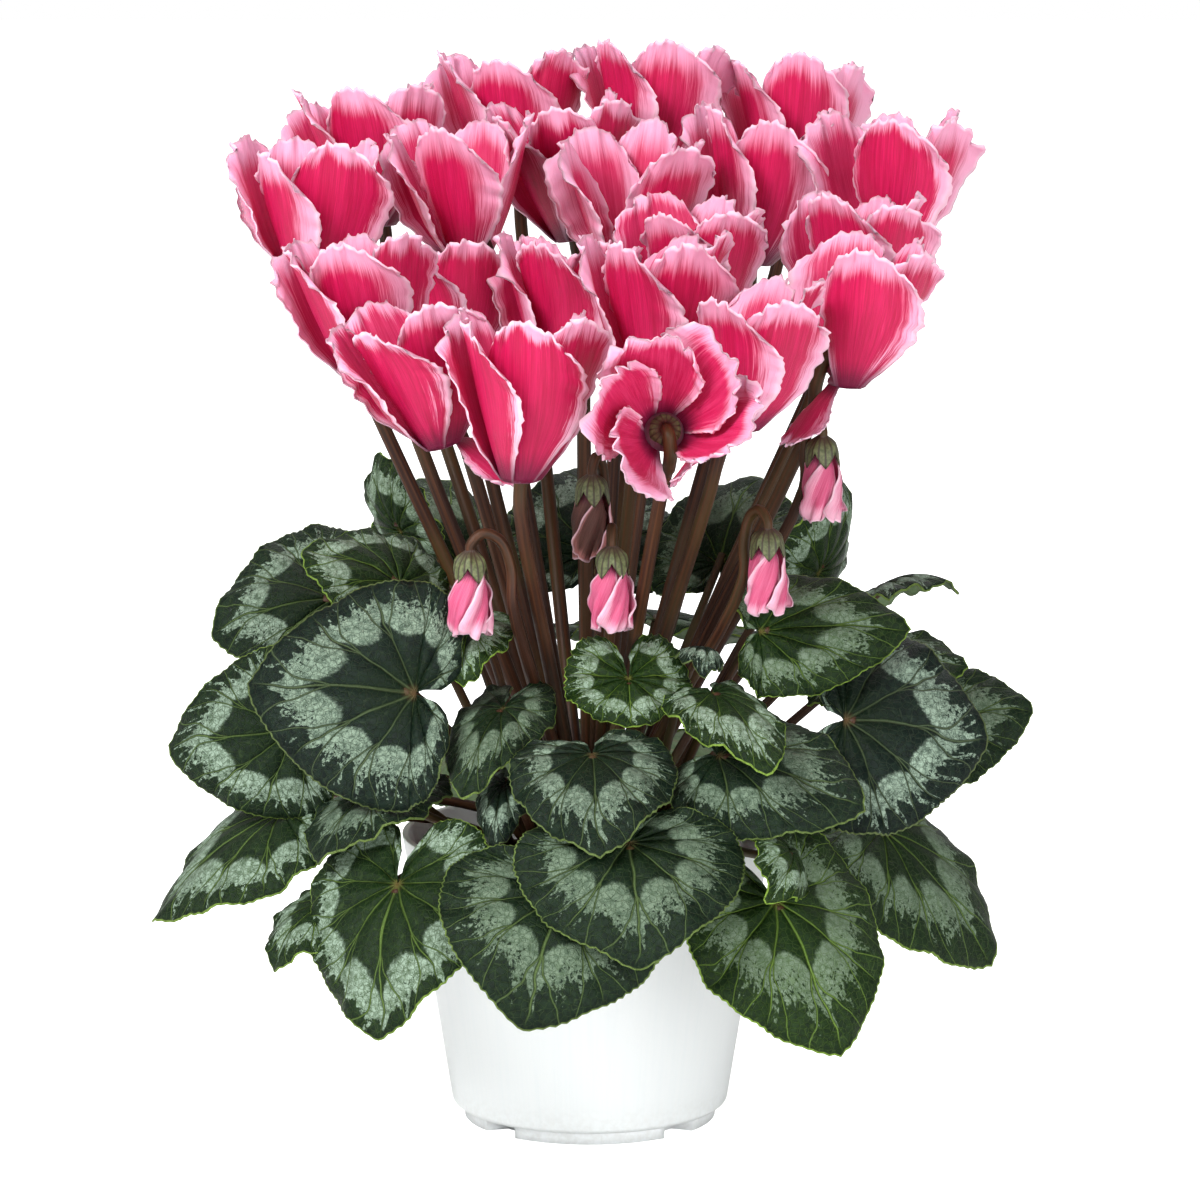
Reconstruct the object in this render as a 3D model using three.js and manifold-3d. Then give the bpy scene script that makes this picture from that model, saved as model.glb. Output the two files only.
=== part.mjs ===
// A potted florist's cyclamen: a white pot of compost, the tuber with its flower stems, the leaves on their
// stalks, the open blooms and the nodding buds. Millimetres, +Z up, origin at the centre of the pot's foot.
// The front, where the lowest leaves hang in front of the pot, faces -Y.
import * as THREE from "three";
import { mergeVertices } from "three/addons/utils/BufferGeometryUtils.js";
import Module from "manifold-3d";

const wasm = await Module();
wasm.setup();

// Pot: a 14 cm nursery pot.
const POT_RIM_RADIUS = 70;
const POT_BASE_RADIUS = 50.5;
const POT_HEIGHT = 108;
const POT_WALL = 1.8;
const POT_LIP_HEIGHT = 13;
const POT_LIP_DEPTH = 2.2;
const POT_LIP_TAPER = 0.6;
const POT_EDGE = 1.5;
const POT_SIDES = 24;
const FOOT_HEIGHT = 5;
const FOOT_RADIUS = 47;
const FOOT_NOTCH_WIDTH = 14;
const FOOT_NOTCH_DEPTH = 8;
const FOOT_NOTCHES = 4;

// Compost and tuber.
const COMPOST_TOP = 94;
const COMPOST_MARGIN = 2.6;
const COMPOST_EDGE_WIDTH = 8;
const COMPOST_EDGE_DROP = 3;
const COMPOST_SIDES = 16;
const COMPOST_LUMP_HEIGHT = 1.2;
const COMPOST_LUMP_PITCH = 33;
const TUBER_RADIUS = 37;
const TUBER_HALF_HEIGHT = 16;
const TUBER_CENTRE = 91;
const TUBER_ROWS = 6;
const TUBER_SIDES = 16;
const CLEARANCE = 0.3;
// Where a sheet folds, its thickness is kept up to this cosine between the fold and its faces.
const SHARPEST_FOLD = 0.6;

// Leaves.
const BLADE_THICKNESS = 0.8;
const LEAF_STALK_RADIUS = 1.6;
const LEAF_STALK_SIDES = 4;
const LEAF_STALK_STEPS = 4;
const STALK_RINGS = [22, 28, 34];
const STALK_SPACING = 1.5;
const STALK_FOOT_DEPTH = 2;
const STALK_RISE = 50;
const STALK_END = 3.5;
const STALK_END_DROP = 12;
const STALK_END_INWARD = 14;
const LEAF_DOME_CENTRE = 70;
// Outline of a cyclamen leaf, from the heart: degrees off the tip, and reach as a share of heart to tip.
const LEAF_OUTLINE = [
  [0, 1], [28, 0.81], [62, 0.71], [98, 0.64], [134, 0.58], [168, 0.32],
];
const LEAF_OUTLINE_WIDTH = 1.3;
const LEAF_RINGS = [0, 0.56, 1];

// Blooms and buds.
const PETAL_THICKNESS = 0.7;
const PETAL_LENGTH = 51;
const PETAL_HALF_WIDTH = 19;
// A petal widens as a sine does over these shares of a half turn.
const PETAL_SWELL_START = 0.055;
const PETAL_SWELL_SPAN = 0.56;
const PETAL_PLACES = [0, 59, 118, 242, 301];
const PETAL_WINDING = 5;
const PETAL_LENGTH_SPREAD = 0.06;
const PETAL_TIP_ROUNDING = 0.24;
const PETAL_FLARE = 1.5;
const PETAL_FLARE_SPREAD = 1.5;
const PETAL_FLATNESS = 0.08;
const PETAL_RIPPLE = 0.8;
const PETAL_RIPPLE_TURN = 7;
const PETAL_DROP = 0.4;
const PETAL_DROP_NARROWING = 0.75;
const PETAL_STEPS = [0, 0.34, 0.68, 1];
const PETAL_ACROSS = [-1, -0.36, 0.36, 1];
const PETAL_BASE_ANGLE = 20;
const MOUTH_RADIUS = 6.5;
const THROAT_HEIGHT = 6;
const STEM_RADIUS = 2.3;
const BUD_STEM_RADIUS = 2;
const STEM_SIDES = 5;
const STEM_GATHERING = 0.085;
const STEM_ROOT_DEPTH = 3;
const BUD_LENGTH = 22;
const BUD_RADIUS = 5.4;
const BUD_TIP_RADIUS = 2.6;
const BUD_TIP_ROUNDING = 0.15;
const BUD_PETAL_PLACES = [0, -90, -180, -270];
const BUD_PETAL_STEPS = [0, 0.3, 0.65, 1];
const BUD_PETAL_HALF_ANGLE = 54;
const BUD_PETAL_WINDING = 1.3;
const BUD_BASE_HALF_ANGLE = 30;
const BUD_TWIST = 60;
const CALYX_HEIGHT = 6;
const CALYX_RADIUS = 4.6;
const CALYX_TAPER = 0.6;
const CALYX_TOP = 2;

const vector = (x = 0, y = 0, z = 0) => new THREE.Vector3(x, y, z);
const radians = THREE.MathUtils.degToRad;

// A repeatable draw between -1 and 1 for a piece's number and the use that it is for.
function draw(piece, use) {
  const mixed = Math.sin(piece * 12.9898 + use * 78.233) * 43758.5453;
  return 2 * (mixed - Math.floor(mixed)) - 1;
}

function solidOf(geometry) {
  const bare = geometry.clone();
  bare.deleteAttribute("normal");
  bare.deleteAttribute("uv");
  const merged = mergeVertices(bare, 1e-4);
  const triVerts = new Uint32Array(merged.index.array);
  return new wasm.Manifold(
    new wasm.Mesh({ numProp: 3, vertProperties: merged.attributes.position.array, triVerts }),
  );
}

function geometryOf(solid) {
  const mesh = solid.getMesh();
  const geometry = new THREE.BufferGeometry();
  geometry.setAttribute("position", new THREE.BufferAttribute(new Float32Array(mesh.vertProperties), 3));
  geometry.setIndex(new THREE.BufferAttribute(new Uint32Array(mesh.triVerts), 1));
  geometry.computeVertexNormals();
  return geometry;
}

const fused = (solids) => solids.reduce((whole, solid) => whole.add(solid));

function part(name, solid, material) {
  const mesh = new THREE.Mesh(geometryOf(solid), material);
  mesh.name = name;
  return mesh;
}

// Triangles between the neighbouring rows of a grid of points, which start at the given index.
function gridFaces(rows, columns, start) {
  const faces = [];
  for (let i = 0; i < rows - 1; i++) {
    for (let j = 0; j < columns - 1; j++) {
      const a = start + i * columns + j;
      faces.push([a, a + columns, a + columns + 1], [a, a + columns + 1, a + 1]);
    }
  }
  return faces;
}

// The direction out of the surface at each of its points. A face counts by its angle there and not by its
// area, and the direction is the longer the sharper the fold, so that a sheet keeps its thickness round it.
function foldNormals(points, faces) {
  const sums = Array.from(points, () => vector());
  const flat = ([a, b, c]) => new THREE.Triangle(points[a], points[b], points[c]).getNormal(vector());
  const flats = faces.map(flat);
  faces.forEach((face, i) =>
    face.forEach((corner, k) => {
      const [one, other] = [1, 2].map((step) => points[face[(k + step) % 3]].clone().sub(points[corner]));
      sums[corner].addScaledVector(flats[i], one.angleTo(other));
    }),
  );
  sums.forEach((sum) => sum.normalize());
  const least = sums.map(() => 1);
  faces.forEach((face, i) =>
    face.forEach((corner) => (least[corner] = Math.min(least[corner], sums[corner].dot(flats[i])))),
  );
  return sums.map((sum, i) => sum.divideScalar(Math.max(least[i], SHARPEST_FOLD)));
}

// A closed sheet of even thickness round a surface of middle points, with both faces split alike.
function sheet(middlePoints, faces, thickness) {
  const flat = new THREE.BufferGeometry().setFromPoints(middlePoints).setIndex(faces.flat());
  const middle = mergeVertices(flat, 1e-4);
  const kept = [];
  for (let i = 0; i < middle.index.count; i += 3) {
    const face = [0, 1, 2].map((k) => middle.index.getX(i + k));
    if (new Set(face).size === 3) kept.push(face);
  }
  const places = middle.attributes.position;
  const points = Array.from({ length: places.count }, (_, i) => vector().fromBufferAttribute(places, i));
  const normals = foldNormals(points, kept);
  const vertices = [];
  for (const side of [0.5, -0.5]) {
    const moved = points.map((point, i) => point.clone().addScaledVector(normals[i], side * thickness));
    moved.forEach((point) => vertices.push(...point));
  }
  const under = points.length;
  const edges = new Set(kept.flatMap(([a, b, c]) => [`${a} ${b}`, `${b} ${c}`, `${c} ${a}`]));
  const triangles = kept.flatMap(([a, b, c]) => [a, b, c, a + under, c + under, b + under]);
  for (const edge of edges) {
    const [a, b] = edge.split(" ").map(Number);
    if (!edges.has(`${b} ${a}`)) triangles.push(b, a, a + under, b, a + under, b + under);
  }
  const closed = new THREE.BufferGeometry();
  closed.setAttribute("position", new THREE.BufferAttribute(new Float32Array(vertices), 3));
  closed.setIndex(triangles);
  return solidOf(closed);
}

// A line through the given points with a section at each, so that a tight crook gets as many as it needs.
class PointedLine extends THREE.CatmullRomCurve3 {
  getUtoTmapping(share) {
    return share;
  }
}

function rod(line, radius, sides, steps) {
  const section = new THREE.Shape();
  for (let i = 0; i < sides; i++) {
    const angle = (2 * Math.PI * i) / sides;
    const [x, y] = [radius * Math.cos(angle), radius * Math.sin(angle)];
    if (i) section.lineTo(x, y);
    else section.moveTo(x, y);
  }
  return solidOf(new THREE.ExtrudeGeometry(section, { steps, extrudePath: line, bevelEnabled: false }));
}

// A solid turned about Z from a closed profile of [radius, height] rows.
function turned(profile, sides) {
  const points = profile.map(([r, z]) => new THREE.Vector2(r, z));
  return solidOf(new THREE.LatheGeometry(points, sides).rotateX(Math.PI / 2));
}

// Pot.
function potRadius(height) {
  return POT_BASE_RADIUS + ((POT_RIM_RADIUS - POT_LIP_DEPTH - POT_BASE_RADIUS) * height) / POT_HEIGHT;
}

function potSolid() {
  const lip = POT_HEIGHT - POT_LIP_HEIGHT;
  let pot = turned(
    [
      [0, 0],
      [FOOT_RADIUS, 0],
      [FOOT_RADIUS, FOOT_HEIGHT],
      [potRadius(FOOT_HEIGHT) - POT_EDGE, FOOT_HEIGHT],
      [potRadius(FOOT_HEIGHT + POT_EDGE), FOOT_HEIGHT + POT_EDGE],
      [potRadius(lip), lip],
      [potRadius(lip) + POT_LIP_DEPTH, lip],
      [POT_RIM_RADIUS, POT_HEIGHT],
      [POT_RIM_RADIUS - POT_WALL - POT_LIP_TAPER, POT_HEIGHT],
      [potRadius(lip) - POT_WALL, lip],
      [potRadius(FOOT_HEIGHT) - POT_WALL - POT_EDGE, FOOT_HEIGHT + POT_WALL],
      [0, FOOT_HEIGHT + POT_WALL],
    ],
    POT_SIDES,
  );
  for (let i = 0; i < FOOT_NOTCHES; i++) {
    const notch = new THREE.BoxGeometry(2 * FOOT_NOTCH_DEPTH, FOOT_NOTCH_WIDTH, 2 * FOOT_HEIGHT - 1);
    notch.translate(FOOT_RADIUS, 0, 0).rotateZ(((i + 0.5) * 2 * Math.PI) / FOOT_NOTCHES);
    pot = pot.subtract(solidOf(notch));
  }
  return pot;
}

// Tuber.
function tuberSolid(growth) {
  const profile = [];
  for (let i = 0; i <= TUBER_ROWS; i++) {
    const angle = -Math.PI / 2 + (i * Math.PI) / TUBER_ROWS;
    const height = TUBER_CENTRE + (TUBER_HALF_HEIGHT + growth) * Math.sin(angle);
    profile.push([Math.max(0, (TUBER_RADIUS + growth) * Math.cos(angle)), height]);
  }
  return turned(profile, TUBER_SIDES);
}

// A place on top of the tuber and the direction straight out of it.
function tuberPlace(radius, turn) {
  const share = radius / TUBER_RADIUS;
  const height = TUBER_CENTRE + TUBER_HALF_HEIGHT * Math.sqrt(1 - share ** 2);
  const place = vector(radius * Math.cos(turn), radius * Math.sin(turn), height);
  const slope = (place.z - TUBER_CENTRE) / TUBER_HALF_HEIGHT ** 2;
  const out = vector(place.x / TUBER_RADIUS ** 2, place.y / TUBER_RADIUS ** 2, slope).normalize();
  return { place, out };
}

// Compost: it fills the pot to below the lip, with an uneven top and a hollow where the tuber sits.
function compostSolid() {
  const bottom = FOOT_HEIGHT + POT_WALL + CLEARANCE;
  const side = (height) => potRadius(height) - POT_WALL - COMPOST_MARGIN;
  const heap = turned(
    [
      [0, bottom],
      [side(bottom), bottom],
      [side(COMPOST_TOP), COMPOST_TOP - COMPOST_EDGE_DROP],
      [side(COMPOST_TOP) - COMPOST_EDGE_WIDTH, COMPOST_TOP],
      [TUBER_RADIUS + COMPOST_EDGE_WIDTH / 2, COMPOST_TOP],
      [0, COMPOST_TOP],
    ],
    COMPOST_SIDES,
  );
  const lump = (place) => Math.sin((2 * Math.PI * place) / COMPOST_LUMP_PITCH + 0.4);
  const uneven = heap.warp((point) => {
    const rise = COMPOST_LUMP_HEIGHT * lump(point[0]) * lump(point[1]);
    if (point[2] >= COMPOST_TOP - COMPOST_EDGE_DROP) point[2] += rise;
  });
  return uneven.subtract(tuberSolid(CLEARANCE));
}

// Leaves, one row each: node, ring of the tuber that the stalk stands in, heart (where stalk and blade meet),
// tip and full width. Two leaves of one node share a root. roll turns a blade about its length, lobe shortens
// or lengthens the lobes behind its heart, bow lifts its middle above the line from heart to tip, dome lowers
// its two sides, and wave moves its margin up and down.
const LEAVES = [
  ["leaf_front_low_1", 2, [-68, -111, 113], [-73, -132, 61], 74, { wave: 2.5, lobe: 1 }],
  ["leaf_front_low_1", 2, [-92, -86, 101], [-112, -101, 79], 40, {}],
  ["leaf_front_low_2", 2, [-10, -134, 115], [-23, -154, 71], 82, { wave: 4, turn: 200, lobe: 0.6 }],
  ["leaf_front_low_3", 2, [66, -116, 108], [87, -132, 55], 76, { wave: 2.5 }],
  ["leaf_front_low_3", 2, [71, -112, 125], [62, -138, 112], 26, {}],
  ["leaf_front_mid_1", 1, [14, -133, 133], [18, -160, 93], 80, { wave: 4, lobe: 0.6 }],
  ["leaf_front_mid_2", 1, [46, -94, 156], [97, -110, 137], 60, { wave: 3, lobe: 0.5 }],
  ["leaf_front_mid_3", 1, [-31, -78, 170], [-44, -112, 142], 34, { wave: 1.5 }],
  ["leaf_front_mid_3", 1, [-30, -96, 146], [-32, -115, 125], 20, {}],
  ["leaf_front_top_1", 0, [1, -110, 160], [4, -147, 129], 58, { wave: 2.5, lobe: 0.6 }],
  ["leaf_front_top_2", 0, [14, -80, 181], [15, -91, 164], 46, { bow: 1.5, wave: 1.5, dome: 3, lobe: 2.2 }],
  ["leaf_front_top_3", 0, [44, -90, 178], [64, -128, 155], 38, { wave: 1.5, lobe: 0.4 }],
  ["leaf_front_top_4", 0, [-41, -66, 199], [-44, -86, 178], 28, { lobe: 0.5 }],
  ["leaf_front_top_5", 0, [40, -72, 190], [41, -89, 182], 16, { lobe: 0.4 }],
  ["leaf_left_1", 1, [-62, -92, 178], [-122, -72, 177], 82, { wave: 3, roll: -22, lobe: 0.5 }],
  ["leaf_left_2", 2, [-112, -46, 126], [-158, -43, 81], 66, { wave: 3, lobe: 0.4 }],
  ["leaf_left_3", 2, [-75, -73, 139], [-95, -101, 117], 50, {}],
  ["leaf_left_4", 2, [-106, -58, 158], [-153, -34, 147], 62, { wave: 2.5, roll: -35, lobe: 0.6 }],
  ["leaf_left_5", 1, [-96, 14, 194], [-141, 14, 178], 72, { wave: 2, roll: -52 }],
  ["leaf_left_6", 0, [-70, -8, 203], [-107, -4, 212], 52, { wave: 2, roll: -28 }],
  ["leaf_left_7", 0, [-72, 44, 214], [-79, 58, 242], 34, {}],
  ["leaf_right_1", 1, [92, -70, 164], [143, -56, 151], 84, { wave: 3, roll: 16, lobe: 0.5 }],
  ["leaf_right_2", 0, [61, -69, 196], [115, -54, 193], 48, { wave: 2, roll: 24, lobe: 0.3 }],
  ["leaf_right_3", 2, [106, -60, 122], [144, -58, 69], 76, { wave: 3, lobe: 0.8 }],
  ["leaf_right_4", 1, [100, 0, 172], [140, -2, 168], 46, { wave: 2, roll: 30 }],
  ["leaf_right_5", 2, [124, -14, 150], [164, -8, 155], 48, { wave: 2, roll: 25 }],
  ["leaf_right_6", 0, [86, 20, 202], [93, 34, 238], 48, { wave: 2 }],
  ["leaf_right_6", 0, [108, 34, 194], [139, 34, 192], 34, {}],
];

// Leaves at the back, tier by tier: node, ring, first and last compass direction, how many, the distance from
// the pot's axis and height of heart and tip, and how much further out every other leaf of the tier stands.
// Two neighbours share a node.
const BACK_TIERS = [
  {
    node: "leaves_back_low", ring: 2, from: 20, to: 172, count: 6,
    heart: [98, 124], tip: [138, 84], wide: 66, stagger: 9, lobe: 1,
  },
  {
    node: "leaves_back_mid", ring: 1, from: 42, to: 146, count: 4,
    heart: [90, 170], tip: [132, 154], wide: 72, stagger: 19, lobe: 0.5,
  },
  {
    node: "leaves_back_top", ring: 0, from: 58, to: 122, count: 3,
    heart: [94, 196], tip: [124, 224], wide: 74, stagger: 9, lobe: 0.8,
  },
];

function backLeaves() {
  const rows = [];
  for (const tier of BACK_TIERS) {
    for (let i = 0; i < tier.count; i++) {
      const turn = radians(tier.from + ((tier.to - tier.from) * i) / (tier.count - 1));
      const [heart, tip] = [tier.heart, tier.tip].map(([radius, height]) => {
        const out = radius + (i % 2) * tier.stagger;
        return [out * Math.cos(turn), out * Math.sin(turn), height];
      });
      const form = { wave: 2.5, lobe: tier.lobe };
      rows.push([`${tier.node}_${1 + Math.floor(i / 2)}`, tier.ring, heart, tip, tier.wide, form]);
    }
  }
  return rows;
}

function leafOf([node, ring, heart, tip, wide, form]) {
  const leaf = { roll: 0, lobe: 1, bow: 5, dome: 6, wave: 1, waves: 3, turn: 40, ...form };
  return { ...leaf, node, ring, wide, heart: vector(...heart), tip: vector(...tip) };
}

// A point of the blade's middle surface, on the blade's own axes: share runs from the heart to the margin.
function bladePoint(leaf, degrees, reach, share) {
  const length = leaf.heart.distanceTo(leaf.tip);
  const far = reach * length * share;
  const forward = Math.cos(radians(degrees));
  const along = far * forward * (forward < 0 ? leaf.lobe : 1);
  const across = (far * Math.sin(radians(degrees)) * leaf.wide) / (LEAF_OUTLINE_WIDTH * length);
  const t = along / length;
  const lift = t > 0 ? 4 * leaf.bow * t * (1 - t) : 4 * leaf.bow * t;
  const droop = leaf.dome * (across / (leaf.wide / 2)) ** 2;
  const ripple = leaf.wave * share ** 2 * Math.sin(radians(leaf.waves * degrees + leaf.turn));
  return vector(along, across, lift - droop + ripple);
}

// The blade's own axes: X from heart to tip, Z out of its upper face.
function leafFrame(leaf) {
  const along = leaf.tip.clone().sub(leaf.heart).normalize();
  const outward = leaf.heart.clone().sub(vector(0, 0, LEAF_DOME_CENTRE));
  const across = outward.cross(along).normalize();
  const face = vector().crossVectors(along, across).applyAxisAngle(along, radians(leaf.roll));
  const frame = new THREE.Matrix4().makeBasis(along, vector().crossVectors(face, along), face);
  return frame.setPosition(leaf.heart);
}

// Where each stalk leaves the tuber: the nodes stand round their ring in the order of their directions, and
// the stalks of one node stand side by side.
function stalkRoots(leaves) {
  const roots = new Map();
  const direction = (leaf) => Math.atan2(leaf.heart.y, leaf.heart.x);
  STALK_RINGS.forEach((radius, ring) => {
    const nodes = [...new Set(leaves.filter((leaf) => leaf.ring === ring).map((leaf) => leaf.node))];
    const clumps = nodes.map((node) => leaves.filter((leaf) => leaf.node === node));
    clumps.sort((a, b) => direction(a[0]) - direction(b[0]));
    const step = (2 * Math.PI) / clumps.length;
    const slips = clumps.map((clump, i) => direction(clump[0]) - i * step);
    const sum = (turn) => slips.reduce((total, slip) => total + turn(slip), 0);
    const start = Math.atan2(sum(Math.sin), sum(Math.cos));
    clumps.forEach((clump, i) => {
      clump.sort((a, b) => direction(a) - direction(b));
      clump.forEach((leaf, place) => {
        const aside = ((place - (clump.length - 1) / 2) * STALK_SPACING) / radius;
        roots.set(leaf, tuberPlace(radius, start + i * step + aside));
      });
    });
  });
  return roots;
}

// A leaf: its blade, and the stalk that rises from the tuber, bends over where the leaf is low, and meets the
// blade's under face just in front of the heart. The stalk's foot is cut to the tuber, a clearance off it.
function leafSolid(leaf, root) {
  const frame = leafFrame(leaf);
  const half = LEAF_OUTLINE.slice(1).reverse();
  const outline = [...half.map(([degrees, reach]) => [-degrees, reach]), ...LEAF_OUTLINE];
  const points = LEAF_RINGS.flatMap((share) =>
    outline.map(([degrees, reach]) => bladePoint(leaf, degrees, reach, share).applyMatrix4(frame)),
  );
  const blade = sheet(points, gridFaces(LEAF_RINGS.length, outline.length, 0), BLADE_THICKNESS);
  const face = vector().setFromMatrixColumn(frame, 2);
  const rib = bladePoint(leaf, 0, 1, LEAF_RINGS[1]);
  const end = rib.multiplyScalar(STALK_END / rib.x).applyMatrix4(frame);
  const first = root.place.clone().lerp(end, 1 / 3);
  first.z += Math.max(0, 0.75 * (STALK_RISE - end.z + root.place.z));
  const foot = root.place.clone().addScaledVector(root.out, -STALK_FOOT_DEPTH);
  const inward = vector(-end.x, -end.y, 0).normalize();
  const last = end.clone().addScaledVector(face, -STALK_END_DROP).addScaledVector(inward, STALK_END_INWARD);
  const line = new THREE.CubicBezierCurve3(foot, first, last, end);
  const stalk = rod(line, LEAF_STALK_RADIUS, LEAF_STALK_SIDES, LEAF_STALK_STEPS);
  return blade.add(stalk.subtract(tuberSolid(CLEARANCE)));
}

// Blooms: centre of the down-facing mouth, the way that the turned-back petals lean, how far the petals open,
// how long they are, where they aren't of the usual length, the compass direction of the side away from the
// stem, where it isn't straight out from the pot's axis, and which petal hangs down, where one does.
const BLOOMS = [
  { mouth: [-52, -78, 265], lean: [-0.3, -0.1, 1], open: 14, drop: 2 },
  { mouth: [-24, -108, 257], lean: [0.02, -0.05, 1], open: 13, long: 56, front: -90 },
  { mouth: [-54, 2, 275], lean: [-0.05, 0.1, 1], open: 14 },
  { mouth: [26, -112, 274], lean: [0.1, -1, 0.35], open: 15, long: 40, front: 98 },
  { mouth: [23, -45, 280], lean: [0, -0.1, 1], open: 15, long: 54 },
  { mouth: [53, -86, 272], lean: [0.05, -0.1, 1], open: 14, drop: 3 },
  { mouth: [92, -54, 283], lean: [0.08, -0.05, 1], open: 15, drop: 3 },
  { mouth: [37, 1, 296], lean: [0, 0, 1], open: 14, long: 45 },
  { mouth: [-79, -36, 282], lean: [-0.15, -0.05, 1], open: 14 },
  { mouth: [-8, -15, 278], lean: [0, 0, 1], open: 13.5 },
  { mouth: [16, 44, 311], lean: [0, -0.1, 1], open: 16 },
  { mouth: [110, 49, 318], lean: [0.05, 0, 1], open: 16 },
  { mouth: [-45, 48, 315], lean: [-0.05, -0.05, 1], open: 17 },
  { mouth: [-103, 22, 310], lean: [0.05, 0, 1], open: 17 },
  { mouth: [-81, 86, 325], lean: [-0.1, 0.1, 1], open: 16, front: -100 },
  { mouth: [-6, 86, 320], lean: [-0.15, 0.05, 1], open: 15, front: -90 },
  { mouth: [-30, 128, 335], lean: [-0.05, 0.1, 1], open: 16, front: -100 },
  { mouth: [22, 128, 338], lean: [0.05, 0.15, 1], open: 15.5, front: -80 },
  { mouth: [62, 75, 312], lean: [0.1, 0.05, 1], open: 16, long: 56, front: -90 },
  { mouth: [77, 138, 331], lean: [0.05, 0.15, 1], open: 16, front: -90 },
  { mouth: [97, 3, 293], lean: [0, 0, 1], open: 14 },
];

// Buds: top of the calyx, the compass direction in which the stem stands, and how far off.
const BUDS = [
  { calyx: [-42, -86, 226], stem: 10, reach: 15 },
  { calyx: [8, -76, 226], stem: 90, reach: 9 },
  { calyx: [63, -86, 234], stem: 130, reach: 13 },
  { calyx: [83, -66, 264], stem: 135, reach: 9 },
  { calyx: [1, -52, 248], stem: 60, reach: 9 },
];

// A point of a petal's middle surface, before the petal is turned to its place round the mouth. Each petal
// winds round the axis, one edge further out than the other, so that it lies over its neighbour.
function petalPoint(bloom, seed, across, share) {
  const length = (bloom.long ?? PETAL_LENGTH) * (1 + PETAL_LENGTH_SPREAD * draw(seed, 1));
  const run = share * (1 - PETAL_TIP_ROUNDING * across * across * share);
  const hangs = seed % PETAL_PLACES.length === bloom.drop;
  const opening = bloom.open * (2 * run - run * run);
  const flare = (PETAL_FLARE + PETAL_FLARE_SPREAD * draw(seed, 2)) * share ** 4;
  const radius = MOUTH_RADIUS + opening + flare;
  const swell = Math.sin(Math.PI * (PETAL_SWELL_START + PETAL_SWELL_SPAN * share));
  const half = PETAL_HALF_WIDTH * swell * (hangs ? PETAL_DROP_NARROWING : 1);
  const angle = across * (share ? half / radius : radians(PETAL_BASE_ANGLE));
  const flatter = PETAL_FLATNESS * radius * (1 / Math.cos(angle) - 1);
  const rippled = Math.sin(PETAL_RIPPLE_TURN * share + 3 * draw(seed, 3));
  const ripple = PETAL_RIPPLE * share ** 2 * across ** 2 * rippled;
  const reach = radius + flatter + PETAL_WINDING * across * Math.min(1, 3 * share) + ripple;
  return vector(reach * Math.cos(angle), reach * Math.sin(angle), length * run * (hangs ? -PETAL_DROP : 1));
}

// Petals that grow from one hollow cone. Each is a grid whose first row is its two base corners.
function corolla(grids, places, apex) {
  const points = [apex];
  const faces = [];
  const corners = [];
  grids.forEach((grid, petal) => {
    const columns = grid[0].length;
    const start = points.length;
    points.push(...grid.flat().map((point) => point.applyAxisAngle(vector(0, 0, 1), radians(places[petal]))));
    faces.push(...gridFaces(grid.length, columns, start));
    corners.push(start, start + columns - 1);
  });
  corners.forEach((corner, i) => faces.push([0, corner, corners[(i + 1) % corners.length]]));
  return sheet(points, faces, PETAL_THICKNESS);
}

// The bloom's own axes: Z along the turned-back petals, X to the side away from the stem.
function bloomFrame(bloom) {
  const up = vector(...bloom.lean).normalize();
  const [x, y] = bloom.mouth;
  const turn = bloom.front === undefined ? Math.atan2(y, x) : radians(bloom.front);
  const side = vector().crossVectors(up, vector(Math.cos(turn), Math.sin(turn), 0)).normalize();
  const frame = new THREE.Matrix4().makeBasis(vector().crossVectors(side, up), side, up);
  return frame.setPosition(...bloom.mouth);
}

function bloomSolid(bloom, number) {
  const grids = PETAL_PLACES.map((place, petal) =>
    PETAL_STEPS.map((share) => {
      const row = share ? PETAL_ACROSS : [-1, -1, 1, 1];
      return row.map((across) => petalPoint(bloom, number * 5 + petal, across, share));
    }),
  );
  const whole = corolla(grids, PETAL_PLACES, vector(0, 0, THROAT_HEIGHT));
  return whole.transform(bloomFrame(bloom).toArray());
}

// A stem's crook in the bloom's own axes: it comes up behind the mouth, between the two back petals.
const BLOOM_CROOK = [
  [-12.6, 0, -14],
  [-12.2, 0, -2],
  [-8.6, 0, 9.2],
  [-3.2, 0, 11.6],
  [0, 0, THROAT_HEIGHT + PETAL_THICKNESS + CLEARANCE],
];

function bloomStem(bloom) {
  return stemSolid(BLOOM_CROOK, bloomFrame(bloom), STEM_RADIUS);
}

// A bud's crook, for a stem that stands one unit to the side of the bud.
const BUD_CROOK = [
  [-1, 0, -18],
  [-0.96, 0, -4],
  [-0.7, 0, 5.5],
  [-0.3, 0, 8],
  [0, 0, 4],
  [0, 0, 0.5],
];

function budFrame(bud) {
  return new THREE.Matrix4().makeRotationZ(radians(bud.stem + 180)).setPosition(...bud.calyx);
}

function budStem(bud) {
  const frame = budFrame(bud);
  const crook = BUD_CROOK.map(([x, y, z]) => [x * bud.reach, y, z]);
  const middle = [CALYX_RADIUS - CALYX_TAPER, -CALYX_HEIGHT / 2];
  const bell = [[0, -CALYX_HEIGHT], [CALYX_RADIUS, -CALYX_HEIGHT], middle, [0, CALYX_TOP]];
  const calyx = turned(bell, STEM_SIDES);
  return stemSolid(crook, frame, BUD_STEM_RADIUS).add(calyx.transform(frame.toArray()));
}

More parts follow.
